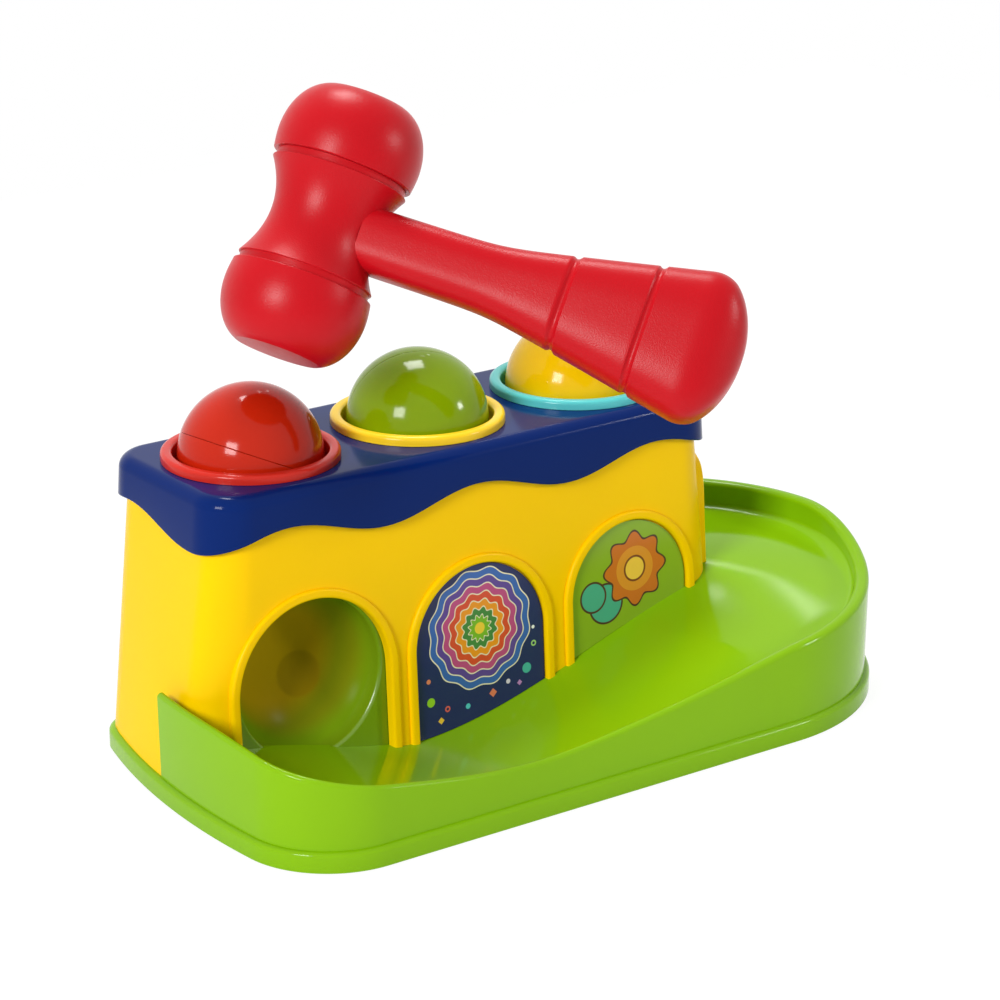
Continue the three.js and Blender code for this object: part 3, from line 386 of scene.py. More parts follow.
def tray_rows():
    """Cross-sections of the tray, one for each track station: wall, rolled rim, floor and underside."""
    run = track_run
    low, top = floor_height(run), rim_height(run)
    step = top - low
    width = RIM_WIDTH + RIM_WIDTH_GAIN * ease(run, RIM_DIP, RAMP_HEAD)
    curl = np.minimum(np.minimum(RIM_CURL, RIM_CURL_SHARE * step), width / 2)
    room = np.linalg.norm(track_q - track_p, axis=1) - SECTION_SPARE
    fillet = np.minimum(np.minimum(FLOOR_FILLET, FLOOR_FILLET_SHARE * step), FLOOR_FILLET_ROOM * room)
    spread = fillet * (1 + BOWL_SPREAD * ease(run, *BOWL_SPREAD_RUN) * ease(room, *BOWL_SPREAD_ROOM))
    inner = RIM_INSET + width
    floor_edge = inner + RIM_LEAN + spread
    under = np.maximum(low - FLOOR_WALL, FLOOR_UNDER)
    columns = []

    def from_edge(d, z):
        """Adds the points at a distance inside the outline."""
        flat = track_p + track_n * np.broadcast_to(d, run.shape)[:, None]
        columns.append(np.column_stack([flat, np.broadcast_to(z, run.shape)]))

    def from_riser(d, z):
        """Adds the points at a distance from the floor's inner edge."""
        columns.append(np.column_stack([track_q + riser_n * d, np.broadcast_to(z, run.shape)]))

    from_edge(LEDGE, TRAY_EDGE_Z)
    for c, s in arc_steps(0, 90, 9):
        from_edge(RIM_INSET + curl * (1 - c), top - curl + curl * s)
    for c, s in arc_steps(90, 0, 9):
        from_edge(inner - curl * (1 - c) + RIM_SPLIT, top - curl + curl * s)
    for c, s in arc_steps(180, 270, 9):
        from_edge(inner + RIM_LEAN + spread * (1 + c), low + fillet * (1 + s))
    edge = track_p + track_n * floor_edge[:, None]
    for t in np.linspace(0, 1, FLOOR_ROWS + 2)[1:-1]:
        columns.append(np.column_stack([edge + (track_q - edge) * t, low]))
    from_riser(0.0, low)
    from_riser(0.0, TRAY_EDGE_Z)
    from_riser(-FLOOR_WALL, TRAY_EDGE_Z)
    from_riser(-FLOOR_WALL, under)
    from_edge(floor_edge, under)
    from_edge(TRAY_WALL_IN, under)
    from_edge(TRAY_WALL_IN, TRAY_EDGE_Z)
    return np.stack(columns, 1)


def flange_rows():
    """Foot flange: a flat strip with a rounded outer edge, carried round the base's outline."""
    profile = [(0.0, 0.0)]
    profile += [
        (FLANGE_ROUND * (1 + c), FLANGE_TOP - FLANGE_ROUND * (1 - s)) for c, s in arc_steps(180, 90, 8)
    ]
    profile += [(FLANGE_WIDTH, FLANGE_TOP), (FLANGE_WIDTH, 0.0)]
    d = np.array(profile)
    flat = outline_p[:, None] + outline_n[:, None] * d[None, :, :1]
    return np.concatenate([flat, np.broadcast_to(d[None, :, 1:], flat.shape[:2] + (1,))], -1)


def moulded_skin():
    """Node group of a moulded surface, on the piece's own coordinates: slow noise shades its tint and
    waves its height, finer noise rubs its gloss, and the finest is a grain in its height."""
    group = bpy.data.node_groups.new("moulded_skin", "ShaderNodeTree")
    face = group.interface
    tint = face.new_socket("Tint", in_out="INPUT", socket_type="NodeSocketColor")
    tint.default_value = (0.8, 0.8, 0.8, 1)
    for label, value in (("Gloss", 0.25), ("Mottle", 0.05), ("Rub", 0.08), ("Grain", 0.0)):
        socket = face.new_socket(label, in_out="INPUT", socket_type="NodeSocketFloat")
        socket.default_value = value
    face.new_socket("Colour", in_out="OUTPUT", socket_type="NodeSocketColor")
    face.new_socket("Roughness", in_out="OUTPUT", socket_type="NodeSocketFloat")
    face.new_socket("Height", in_out="OUTPUT", socket_type="NodeSocketFloat")
    given = group.nodes.new("NodeGroupInput")
    result = group.nodes.new("NodeGroupOutput")
    place = group.nodes.new("ShaderNodeTexCoord")

    def noise(scale, detail):
        """Noise on the piece's own coordinates."""
        node = group.nodes.new("ShaderNodeTexNoise")
        node.inputs["Scale"].default_value = scale
        node.inputs["Detail"].default_value = detail
        group.links.new(place.outputs["Object"], node.inputs["Vector"])
        return node.outputs["Fac"]

    def step(operation, *values):
        """One arithmetic node of the group."""
        return arithmetic(group, operation, *values)

    flow = noise(scale=26.0, detail=2.0)
    rub = noise(scale=240.0, detail=4.0)
    grain = noise(scale=2600.0, detail=1.0)
    shade = step("MULTIPLY_ADD", step("SUBTRACT", flow, NOISE_MIDDLE), given.outputs["Mottle"], 1.0)
    tinted = group.nodes.new("ShaderNodeVectorMath")
    tinted.operation = "SCALE"
    group.links.new(given.outputs["Tint"], tinted.inputs[0])
    group.links.new(shade, tinted.inputs["Scale"])
    group.links.new(tinted.outputs[0], result.inputs["Colour"])
    rubbed = step("SUBTRACT", rub, RUB_MIDDLE)
    gloss = step("MULTIPLY_ADD", rubbed, given.outputs["Rub"], given.outputs["Gloss"])
    group.links.new(step("MAXIMUM", gloss, LEAST_ROUGHNESS), result.inputs["Roughness"])
    wave = step("MULTIPLY", flow, FLOW_HEIGHT)
    group.links.new(step("MULTIPLY_ADD", grain, given.outputs["Grain"], wave), result.inputs["Height"])
    return group


skin_group = moulded_skin()


def linear(colour):
    """Linear light from a display colour given as three shares of 255."""
    share = np.array(colour, float) / 255
    return tuple(np.where(share <= 0.04045, share / 12.92, ((share + 0.055) / 1.055) ** 2.4)) + (1.0,)


def plastic(name, colour, gloss, mottle=0.06, rub=0.08, grain=0.0, wave=0.0004, glow=0.0, mirror=0.2):
    """Moulded plastic in one colour; glow is the share of light that spreads under its skin, and
    mirror the strength of its reflections."""
    material = bpy.data.materials.new(name)
    material.use_nodes = True
    tree = material.node_tree
    shader = tree.nodes["Principled BSDF"]
    skin = tree.nodes.new("ShaderNodeGroup")
    skin.node_tree = skin_group
    skin.inputs["Tint"].default_value = linear(colour)
    skin.inputs["Gloss"].default_value = gloss
    skin.inputs["Mottle"].default_value = mottle
    skin.inputs["Rub"].default_value = rub
    skin.inputs["Grain"].default_value = grain
    bump = tree.nodes.new("ShaderNodeBump")
    bump.inputs["Strength"].default_value = 0.5
    bump.inputs["Distance"].default_value = wave
    tree.links.new(skin.outputs["Colour"], shader.inputs["Base Color"])
    tree.links.new(skin.outputs["Roughness"], shader.inputs["Roughness"])
    tree.links.new(skin.outputs["Height"], bump.inputs["Height"])
    tree.links.new(bump.outputs["Normal"], shader.inputs["Normal"])
    shader.inputs["IOR"].default_value = 1.48
    shader.inputs["Specular IOR Level"].default_value = mirror
    shader.inputs["Subsurface Weight"].default_value = glow
    shader.inputs["Subsurface Radius"].default_value = (0.004, 0.003, 0.0015)
    shader.inputs["Subsurface Scale"].default_value = 0.5
    return material


LEAF_GREEN = (132, 183, 8)
leaf_green = plastic(
    "leaf_green_gloss", LEAF_GREEN, gloss=0.11, rub=0.04, wave=0.0003, glow=0.05, mirror=0.15,
)
tray = tray_rows()
flange = flange_rows()
flange_first = tray.shape[0] * tray.shape[1]
deck_first = flange_first + flange.shape[0] * flange.shape[1]
deck_back = outline_p[len(track_p):] + outline_n[len(track_p):] * TRAY_WALL_IN
deck_edge = np.concatenate([deck_back, track_q])
deck = np.concatenate([
    np.column_stack([deck_edge, np.full(len(deck_edge), z)]) for z in (FLOOR_LOW, TRAY_EDGE_Z)
])
tray_faces = grid_faces(*tray.shape[:2], cap=True)
tray_faces += grid_faces(*flange.shape[:2], wrap_rows=True, first=flange_first)
tray_faces += grid_faces(2, len(deck_edge), first=deck_first, cap=True)
mesh_piece(
    "track_base", np.concatenate([tray.reshape(-1, 3), flange.reshape(-1, 3), deck]), tray_faces,
    "house", leaf_green, nodes=("base_tray",),
)

# Base plate: the flat green plate that closes the tray's underside, moulded with a satin grain. Zinc
# plated steel screws hold it, four into the house and three into the tray.
plate_green = plastic("leaf_green_satin", LEAF_GREEN, gloss=0.4, grain=0.3)
steel = bpy.data.materials.new("zinc_screw")
steel.use_nodes = True
steel_tree = steel.node_tree
steel_place = steel_tree.nodes.new("ShaderNodeTexCoord")
turned_marks = steel_tree.nodes.new("ShaderNodeTexNoise")
turned_marks.inputs["Scale"].default_value = 900.0
steel_gloss = steel_tree.nodes.new("ShaderNodeMapRange")
steel_gloss.inputs["To Min"].default_value = 0.25
steel_gloss.inputs["To Max"].default_value = 0.45
steel_shader = steel_tree.nodes["Principled BSDF"]
steel_shader.inputs["Metallic"].default_value = 1.0
steel_shader.inputs["Base Color"].default_value = linear((190, 192, 196))
steel_tree.links.new(steel_place.outputs["Object"], turned_marks.inputs["Vector"])
steel_tree.links.new(turned_marks.outputs["Fac"], steel_gloss.inputs["Value"])
steel_tree.links.new(steel_gloss.outputs["Result"], steel_shader.inputs["Roughness"])


def dress(node, material):
    """Gives a carried-over piece its finish."""
    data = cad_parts[node].data
    data.materials.clear()
    data.materials.append(material)


dress("base_plate", plate_green)
for name in [f"house_screw_{i}" for i in (1, 2, 3, 4)] + [f"tray_screw_{i}" for i in (1, 2, 3)]:
    dress(name, steel)

# House walls: one glossy yellow moulding with drafted walls and rounded corners, screwed to the base.
# Its left end bulges to follow the base, three arches are cut or sunk in the front, and a round-topped
# exit opens at the right.
WALL = 2.4
WALL_TOP = 93.9
WALL_CORNER = 11.5
WALL_CORNER_STEPS = 17
WALL_SIDE_STEPS = 16
BULGE_TOP = 77.7
HOLLOW_LOW = FOOT - 1.0
HOLLOW_TOP = 95.0
TILT = math.atan(DRAFT)
PITCH = 62.0
RIGHT_ARCH_X = PITCH - 2.8
EXIT_R = 24.0
EXIT_SPRING = 62.0
EXIT_CUT_X = (88.0, 104.0)
TRAY_ROOM_X = (60.0, 100.0)
TRAY_ROOM_Y = (33.9, 40.0)
TRAY_ROOM_Z = (2.0, 20.0)
CUT_PROUD = 3.0
# Each arch: its middle along the wall, its radius, its top and the depth of its cut.
ARCHES = (
    (-PITCH, 27.4, 59.8, 12.0),
    (0.0, 25.0, 58.0, 1.2),
    (RIGHT_ARCH_X, 23.4, 59.8, 1.2),
)


def house_ring(z, inset):
    """Rounded rectangle of the walls at a height; the left side is drawn out towards the base's bow."""
    half_x, half_y, radius = house_length(z) - inset, house_depth(z) - inset, WALL_CORNER - inset
    flat_x, flat_y = half_x - radius, half_y - radius
    pieces = []
    for sx, sy, start in ((1, -1, -90), (1, 1, 0), (-1, 1, 90), (-1, -1, 180)):
        turn = arc_steps(start, start + 90, WALL_CORNER_STEPS)
        pieces.append(np.array([sx * flat_x, sy * flat_y]) + radius * turn)
    side = np.linspace(flat_y, -flat_y, WALL_SIDE_STEPS + 2)[1:-1]
    pieces.insert(3, np.stack([np.full(WALL_SIDE_STEPS, -half_x), side], -1))
    ring = np.concatenate(pieces)
    reach = bow_x - np.sqrt(BOW_R ** 2 - (ring[:, 1] - BOW_Y) ** 2) + LEDGE
    bulge = np.maximum(0, -house_length(FOOT) - reach)
    weight = np.clip((-ring[:, 0] - flat_x) / radius, 0, 1)
    part = max(0.0, (BULGE_TOP - z) / (BULGE_TOP - FOOT))
    ring[:, 0] -= part * bulge * weight
    return np.column_stack([ring, np.full(len(ring), z)])


def house_block(inset, low, high):
    """The walls' outside, or their inside at an inset, as rows of rings up the house."""
    return np.stack([house_ring(z, inset) for z in (low, BULGE_TOP, high)])


def on_front(x, points):
    """Carries points drawn flat on the front wall (along it, up it, out of it) to their place."""
    points = np.asarray(points, float)
    along, up, out = points[..., 0], points[..., 1], points[..., 2]
    y = -house_depth(0) + up * math.sin(TILT) - out * math.cos(TILT)
    z = up * math.cos(TILT) + out * math.sin(TILT)
    return np.stack([x + along, y, z], -1)


def arch_line(radius, top, foot, count=49):
    """Arch outline from the right foot over the half circle to the left foot."""
    bow = np.array([0.0, top - radius]) + radius * arc_steps(0, 180, count)
    return np.concatenate([[[radius, foot]], bow, [[-radius, foot]]])


def arch_block(x, radius, top, foot, low, high):
    """Arch outline as two rows, at two depths on the front wall."""
    line = arch_line(radius, top, foot)
    rows = [np.column_stack([line, np.full(len(line), depth)]) for depth in (low, high)]
    return on_front(x, np.stack(rows))


def outward(mesh):
    """Turns a closed mesh so that its faces point out."""
    corners = np.empty(len(mesh.vertices) * 3)
    mesh.vertices.foreach_get("co", corners)
    corners = corners.reshape(-1, 3)
    mesh.calc_loop_triangles()
    tri = np.empty(len(mesh.loop_triangles) * 3, int)
    mesh.loop_triangles.foreach_get("vertices", tri)
    a, b, c = (corners[tri.reshape(-1, 3)[:, k]] for k in range(3))
    if np.einsum("ij,ij->i", a, np.cross(b, c)).sum() < 0:
        mesh.flip_normals()


def cutter(rows):
    """A hidden closed body from rows of rings, used to cut the walls."""
    mesh = bpy.data.meshes.new("cutter")
    mesh.from_pydata((rows.reshape(-1, 3) * MM).tolist(), [], grid_faces(*rows.shape[:2], cap=True))
    tool = bpy.data.objects.new("cutter", mesh)
    scene.collection.objects.link(tool)
    outward(mesh)
    return tool


def carve(piece, tools):
    """Cuts each tool out of a piece and keeps the result as the piece's own mesh."""
    for tool in tools:
        cut = piece.modifiers.new("cut", "BOOLEAN")
        cut.operation = "DIFFERENCE"
        cut.solver = "EXACT"
        cut.object = tool
    done = bpy.data.meshes.new_from_object(piece.evaluated_get(bpy.context.evaluated_depsgraph_get()))
    piece.modifiers.clear()
    old = piece.data
    piece.data = done
    bpy.data.meshes.remove(old)
    for tool in tools:
        shape = tool.data
        bpy.data.objects.remove(tool)
        bpy.data.meshes.remove(shape)
    done.shade_smooth()
    done.set_sharp_from_angle(angle=math.radians(30))


house_yellow = plastic("house_yellow_gloss", (255, 203, 0), gloss=0.24, glow=0.1, mirror=0.08)
block = house_block(0.0, FOOT, WALL_TOP)
walls = mesh_piece(
    "house_walls", block.reshape(-1, 3), grid_faces(*block.shape[:2], cap=True),
    "house", house_yellow, nodes=("house_shell",),
)
outward(walls.data)
exit_line = arch_line(EXIT_R, EXIT_SPRING + EXIT_R, FLOOR_LOW, 65)
exit_rows = np.stack([np.column_stack([np.full(len(exit_line), x), exit_line]) for x in EXIT_CUT_X])
room_x, room_y = np.array(TRAY_ROOM_X)[[0, 1, 1, 0]], np.array(TRAY_ROOM_Y)[[0, 0, 1, 1]]
tray_room = np.stack([np.column_stack([room_x, room_y, np.full(4, z)]) for z in TRAY_ROOM_Z])
tools = [cutter(house_block(WALL, HOLLOW_LOW, HOLLOW_TOP))]
tools += [cutter(arch_block(x, r, top, 0.0, -depth, CUT_PROUD)) for x, r, top, depth in ARCHES]
tools += [cutter(exit_rows), cutter(tray_room)]
carve(walls, tools)

# Arch beads: a rounded raised border around each arch and the exit, moulded with the walls. Each leg
# stands on the track floor, so the legs of the two sunk arches end at different heights on the ramp.
BEAD_WIDTH = 3.0
BEAD_RISE = 1.2
BEAD_ROUND = 0.9
BEAD_INNER_ROUND = 0.8
BEAD_EDGE = 0.2
BEAD_LAP = 0.06
BEAD_SINK = 1.1
BEAD_FOOT = 1.2
WALL_SHARE = 0.083
EXIT_BEAD_TURN = 32.0
EXIT_BEAD_STEPS = 13
EXIT_BEAD_SINK = 2.2
EXIT_FADE_STEPS = (6, 12)
EXIT_FADE_SINK = 0.8
EXIT_LEG_FOOT = FLOOR_HIGH - 8.0
front = slice(LEFT_STEPS, LEFT_STEPS + FRONT_STEPS)
wall_x = track_q[front, 0] * (1 - WALL_SHARE) + track_p[front, 0] * WALL_SHARE
wall_floor = floor_height(track_run[front])


def floor_at_wall(x):
    """Height of the track floor where it meets the front wall, at places along the wall."""
    return np.interp(x, wall_x, wall_floor)


def bead_bow(radius, spring, path, sink):
    """A rounded border along a stretch of an arch: its profile runs from the wall over the crest into
    the arch and back under the wall's face by the sink."""
    profile = [(BEAD_WIDTH, -BEAD_EDGE)]
    profile += [
        (BEAD_WIDTH - BEAD_ROUND * (1 - c), BEAD_RISE - BEAD_ROUND * (1 - s))
        for c, s in arc_steps(0, 90, 7)
    ]
    profile += [
        (BEAD_INNER_ROUND * (1 - c) - BEAD_LAP, BEAD_RISE - BEAD_INNER_ROUND * (1 - s))
        for c, s in arc_steps(90, 0, 7)
    ]
    profile += [(-BEAD_LAP, -sink), (BEAD_WIDTH, -sink)]
    d = np.array(profile)
    reach = radius + d[:, 0]
    return np.stack([
        path[:, :1] * reach,
        spring + path[:, 1:] * reach,
        np.broadcast_to(d[:, 1], (len(path), len(d))),
    ], -1)


def leg(row, foot):
    """The end row of a border carried straight down to its foot."""
    low = row.copy()
    low[:, 1] = foot
    return low[None]


def lay_bead(name, rows):
    """One border as a piece of the house."""
    piece = mesh_piece(
        f"arch_bead_{name}", rows.reshape(-1, 3), grid_faces(*rows.shape[:2], cap=True),
        "house", house_yellow, sharp=40,
    )
    outward(piece.data)


def on_right(points):
    """Carries points drawn flat on the right end wall (along it, up it, out of it) to their place."""
    along, up, out = points[..., 0], points[..., 1], points[..., 2]
    x = house_length(0) - up * math.sin(TILT) + out * math.cos(TILT)
    return np.stack([x, along, up * math.cos(TILT) + out * math.sin(TILT)], -1)


for name, (x, radius, top, _) in zip(("left", "middle", "right"), ARCHES):
    bow = bead_bow(radius, top - radius, arc_steps(0, 180, 73), BEAD_SINK)
    right, left = floor_at_wall(x + radius) - BEAD_FOOT, floor_at_wall(x - radius) - BEAD_FOOT
    lay_bead(name, on_front(x, np.concatenate([leg(bow[0], right), bow, leg(bow[-1], left)])))
fade = ease(np.arange(EXIT_BEAD_STEPS), *EXIT_FADE_STEPS)[:, None]
for name, start, end in (("exit_front", 180, 180 - EXIT_BEAD_TURN), ("exit_back", 0, EXIT_BEAD_TURN)):
    bow = bead_bow(EXIT_R, EXIT_SPRING, arc_steps(start, end, EXIT_BEAD_STEPS), EXIT_BEAD_SINK)
    out = bow[..., 2]
    bow[..., 2] = np.where(out > -BEAD_SINK, out * (1 - fade) - EXIT_FADE_SINK * fade, out)
    lay_bead(name, on_right(np.concatenate([leg(bow[0], EXIT_LEG_FOOT), bow])))

# Ball pocket: a green plastic moulding behind the open arch, where a ball comes to rest. Its cup is deep
# and glossy, and a flat arch-shaped plate around the mouth stands right behind the wall.
CUP_R = 25.3
CUP_DEPTH = 16.0
CUP_WALL = 2.0
CUP_MOUTH = 1.3
CUP_OUTER_MOUTH = 0.01
CUP_Z = 34.3
CUP_TURN = 88
CUP_STEPS = 24
MOUTH_STEPS = 9
MOUTH_INSET = 0.7
MOUTH_FADE = 0.5
MIX_GROUND, MIX_LAYER, MIX_RESULT = 6, 7, 2
PLATE_GAP = 0.3
PLATE_R = 28.6
PLATE_TOP = 61.0
ROUND_STEPS = 96
plate_front = -WALL - PLATE_GAP
plate_back = plate_front - CUP_WALL
round_turn = np.linspace(0, 2 * math.pi, ROUND_STEPS, endpoint=False)
round_line = np.stack([np.cos(round_turn), np.sin(round_turn)], -1)


def cup_rows(radius, depth, mouth):
    """Half an ellipsoid with a rounded mouth: rings that shrink over the mouth's quarter circle, then
    shrink and sink along a quarter ellipse."""
    c, s = arc_steps(0, 90, MOUTH_STEPS).T
    turn_r, turn_d = radius + mouth * (1 - s), mouth * (1 - c)
    c, s = arc_steps(0, CUP_TURN, CUP_STEPS)[1:].T
    reach = np.concatenate([turn_r, radius * c])
    sunk = plate_front - np.concatenate([turn_d, mouth + (depth - mouth) * s])
    flat = round_line[None] * reach[:, None, None] + np.array([0, CUP_Z])
    return np.concatenate([flat, np.broadcast_to(sunk[:, None, None], flat.shape[:2] + (1,))], -1)


def flat_loop(points):
    """A closed outline laid flat, as the filling of a plate with holes takes it."""
    return np.column_stack([points, np.zeros(len(points))]).tolist()


inner_cup = cup_rows(CUP_R, CUP_DEPTH, CUP_MOUTH)
outer_cup = cup_rows(CUP_R + CUP_WALL, CUP_DEPTH + CUP_WALL, CUP_OUTER_MOUTH)
outer_cup[:MOUTH_STEPS + 1, :, 2] = np.minimum(outer_cup[:MOUTH_STEPS + 1, :, 2], plate_back)
plate_edge = arch_line(PLATE_R, PLATE_TOP, FOOT)
size = len(plate_edge)
points = np.concatenate([
    inner_cup.reshape(-1, 3),
    outer_cup.reshape(-1, 3),
    np.column_stack([plate_edge, np.full(size, plate_front)]),
    np.column_stack([plate_edge, np.full(size, plate_back)]),
])
rows, cols = inner_cup.shape[:2]
start_outer = rows * cols
start_edge = 2 * rows * cols
faces = grid_faces(rows, cols) + grid_faces(rows, cols, first=start_outer)
faces.append(list(range((rows - 1) * cols, rows * cols)))
faces.append(list(range(start_outer + (rows - 1) * cols, start_outer + rows * cols)))
sides = ((start_edge, 0, inner_cup, 1), (start_edge + size, start_outer, outer_cup, -1))
for first, hole, cup, turn in sides:
    for tri in tessellate_polygon([flat_loop(plate_edge), flat_loop(cup[0, :, :2])]):
        ids = [first + k if k < size else hole + k - size for k in tri]
        faces.append(ids[::turn])
here = start_edge + np.arange(size)
after = start_edge + (np.arange(size) + 1) % size
faces += np.stack([here, after, after + size, here + size], -1).tolist()


def disc(tree, middle, reach, fade):
    """One inside a disc of the front, drawn in millimetres, and zero beyond the fade around it."""
    place = tree.nodes.new("ShaderNodeTexCoord")
    flat = tree.nodes.new("ShaderNodeVectorMath")
    flat.operation = "MULTIPLY_ADD"
    flat.inputs[1].default_value = (1 / MM, 0, 1 / MM)
    flat.inputs[2].default_value = (-middle[0], 0, -middle[1])
    away = tree.nodes.new("ShaderNodeVectorMath")
    away.operation = "LENGTH"
    inside = tree.nodes.new("ShaderNodeMapRange")
    inside.interpolation_type = "SMOOTHSTEP"
    inside.inputs["From Min"].default_value = reach + fade
    inside.inputs["From Max"].default_value = reach
    tree.links.new(place.outputs["Object"], flat.inputs[0])
    tree.links.new(flat.outputs[0], away.inputs[0])
    tree.links.new(away.outputs["Value"], inside.inputs["Value"])
    return inside


def paint_cup_shade(material, shade_colours):
    """Paints shade and a reflection of the yellow house into a cup's tint, in discs, each with its fade,
    from the outermost to the innermost.
    """
    tree = material.node_tree
    skin = next(node for node in tree.nodes if node.type == "GROUP")
    colour = None
    for shade_colour, middle, reach, fade in shade_colours:
        mix = tree.nodes.new("ShaderNodeMix")
        mix.data_type = "RGBA"
        mix.inputs[MIX_GROUND].default_value = skin.inputs["Tint"].default_value
        if colour:
            tree.links.new(colour, mix.inputs[MIX_GROUND])
        mix.inputs[MIX_LAYER].default_value = linear(shade_colour)
        tree.links.new(disc(tree, middle, reach, fade).outputs["Result"], mix.inputs["Factor"])
        colour = mix.outputs[MIX_RESULT]
    tree.links.new(colour, skin.inputs["Tint"])


def shine_at_mouth(material, mouth, inside):
    """Stronger reflections on a cup's rounded mouth than inside it."""
    tree = material.node_tree
    level = disc(tree, (-PITCH, CUP_Z), CUP_R - MOUTH_INSET, MOUTH_FADE)
    level.inputs["To Min"].default_value = mouth
    level.inputs["To Max"].default_value = inside
    tree.links.new(level.outputs["Result"], tree.nodes["Principled BSDF"].inputs["Specular IOR Level"])


def tidy_normals(piece):
    """Lets the mesh editor turn all faces of a piece the same way, outwards."""
    work = bmesh.new()
    work.from_mesh(piece.data)
    bmesh.ops.recalc_face_normals(work, faces=work.faces)
    work.to_mesh(piece.data)
    work.free()
    piece.data.set_sharp_from_angle(angle=math.radians(32))


# The cup's green is darkened by painted shade; olive-brown discs paint its shade and a reflection of the
# yellow house.
cup_green_painted_shade = plastic("cup_green_gloss_painted_shade", (112, 146, 14), gloss=0.24, wave=0.0002)
paint_cup_shade(cup_green_painted_shade, (
    ((128, 134, 14), (-PITCH + 1.0, CUP_Z + 1.0), 20.0, 5.0),
    ((180, 146, 13), (-PITCH - 4.0, CUP_Z + 3.0), 14.0, 9.0),
    ((160, 130, 11), (-PITCH + 5.0, CUP_Z - 5.0), 6.5, 1.5),
))
shine_at_mouth(cup_green_painted_shade, mouth=0.7, inside=0.02)
pocket = mesh_piece(
    "ball_cup", on_front(-PITCH, points), faces, "house", cup_green_painted_shade, nodes=("ball_pocket",),
)
tidy_normals(pocket)

# Ball chute: the channel inside the house that leads a ball from under the holes to the exit. It is
# moulded in yellow plastic with a satin grain, and only its end shows, through the exit.
dress("ball_chute", plastic("chute_yellow_satin", (242, 183, 5), gloss=0.4, grain=0.4))

# Printed panels: thin glossy films stuck in the two sunk arches. The middle one is navy with a round
# target of rainbow bands and scattered dots, the right one is leaf green with a plain orange flower.
FILM_CLEARANCE = 0.5
FILM_GAP = 0.3
FILM_DEPTHS = (-0.9, -0.4)
FILM_FOOT_STEPS = 22
INK_EDGE = 0.05
TARGET_MIDDLE = (0.0, 36.6)
TARGET_WAVES = 12.0
TARGET_SWING = 0.55
TARGET_BAND = 2.55
TARGET_CORE = 1.6
TARGET_LINE = 0.4
TARGET_EYE = 1.9
TARGET_BANDS = (
    (121, 181, 42), (66, 132, 62), (240, 150, 30), (218, 74, 44),
    (190, 70, 130), (92, 62, 150), (52, 98, 178),
)
TARGET_DOTS = (
    (-19.6, 16.4, 1.5, (150, 204, 40), 0.0), (-13.4, 12.9, 1.0, (224, 92, 84), 0.5),
    (17.6, 19.4, 1.7, (70, 178, 164), 0.0), (10.2, 16.6, 0.8, (222, 210, 232), 0.0),
    (-20.2, 23.4, 0.8, (228, 130, 96), 0.0), (20.6, 27.0, 1.0, (160, 206, 120), 0.5),
    (-5.6, 12.0, 0.9, (84, 196, 206), 0.0), (20.6, 32.4, 0.6, (240, 240, 240), 0.0),
)
TARGET_DIAMONDS = (
    (-16.0, 9.6, 1.2, (240, 190, 60)), (4.2, 14.2, 1.5, (226, 120, 92)), (14.6, 15.2, 1.0, (190, 130, 200)),
)
FLOWER_MIDDLE = (2.6, 43.0)
FLOWER_PETALS = 8.0
FLOWER_SWING = 1.3
FLOWER_EDGES = ((11.6, (72, 38, 30)), (10.9, (206, 108, 30)))
FLOWER_RINGS = ((7.4, (222, 142, 40)), (4.4, (120, 56, 28)), (3.7, (244, 196, 70)))
LEAVES = ((-9.4, 33.6, 6.2), (-14.4, 36.6, 4.6))
LEAF_LINE = 0.7


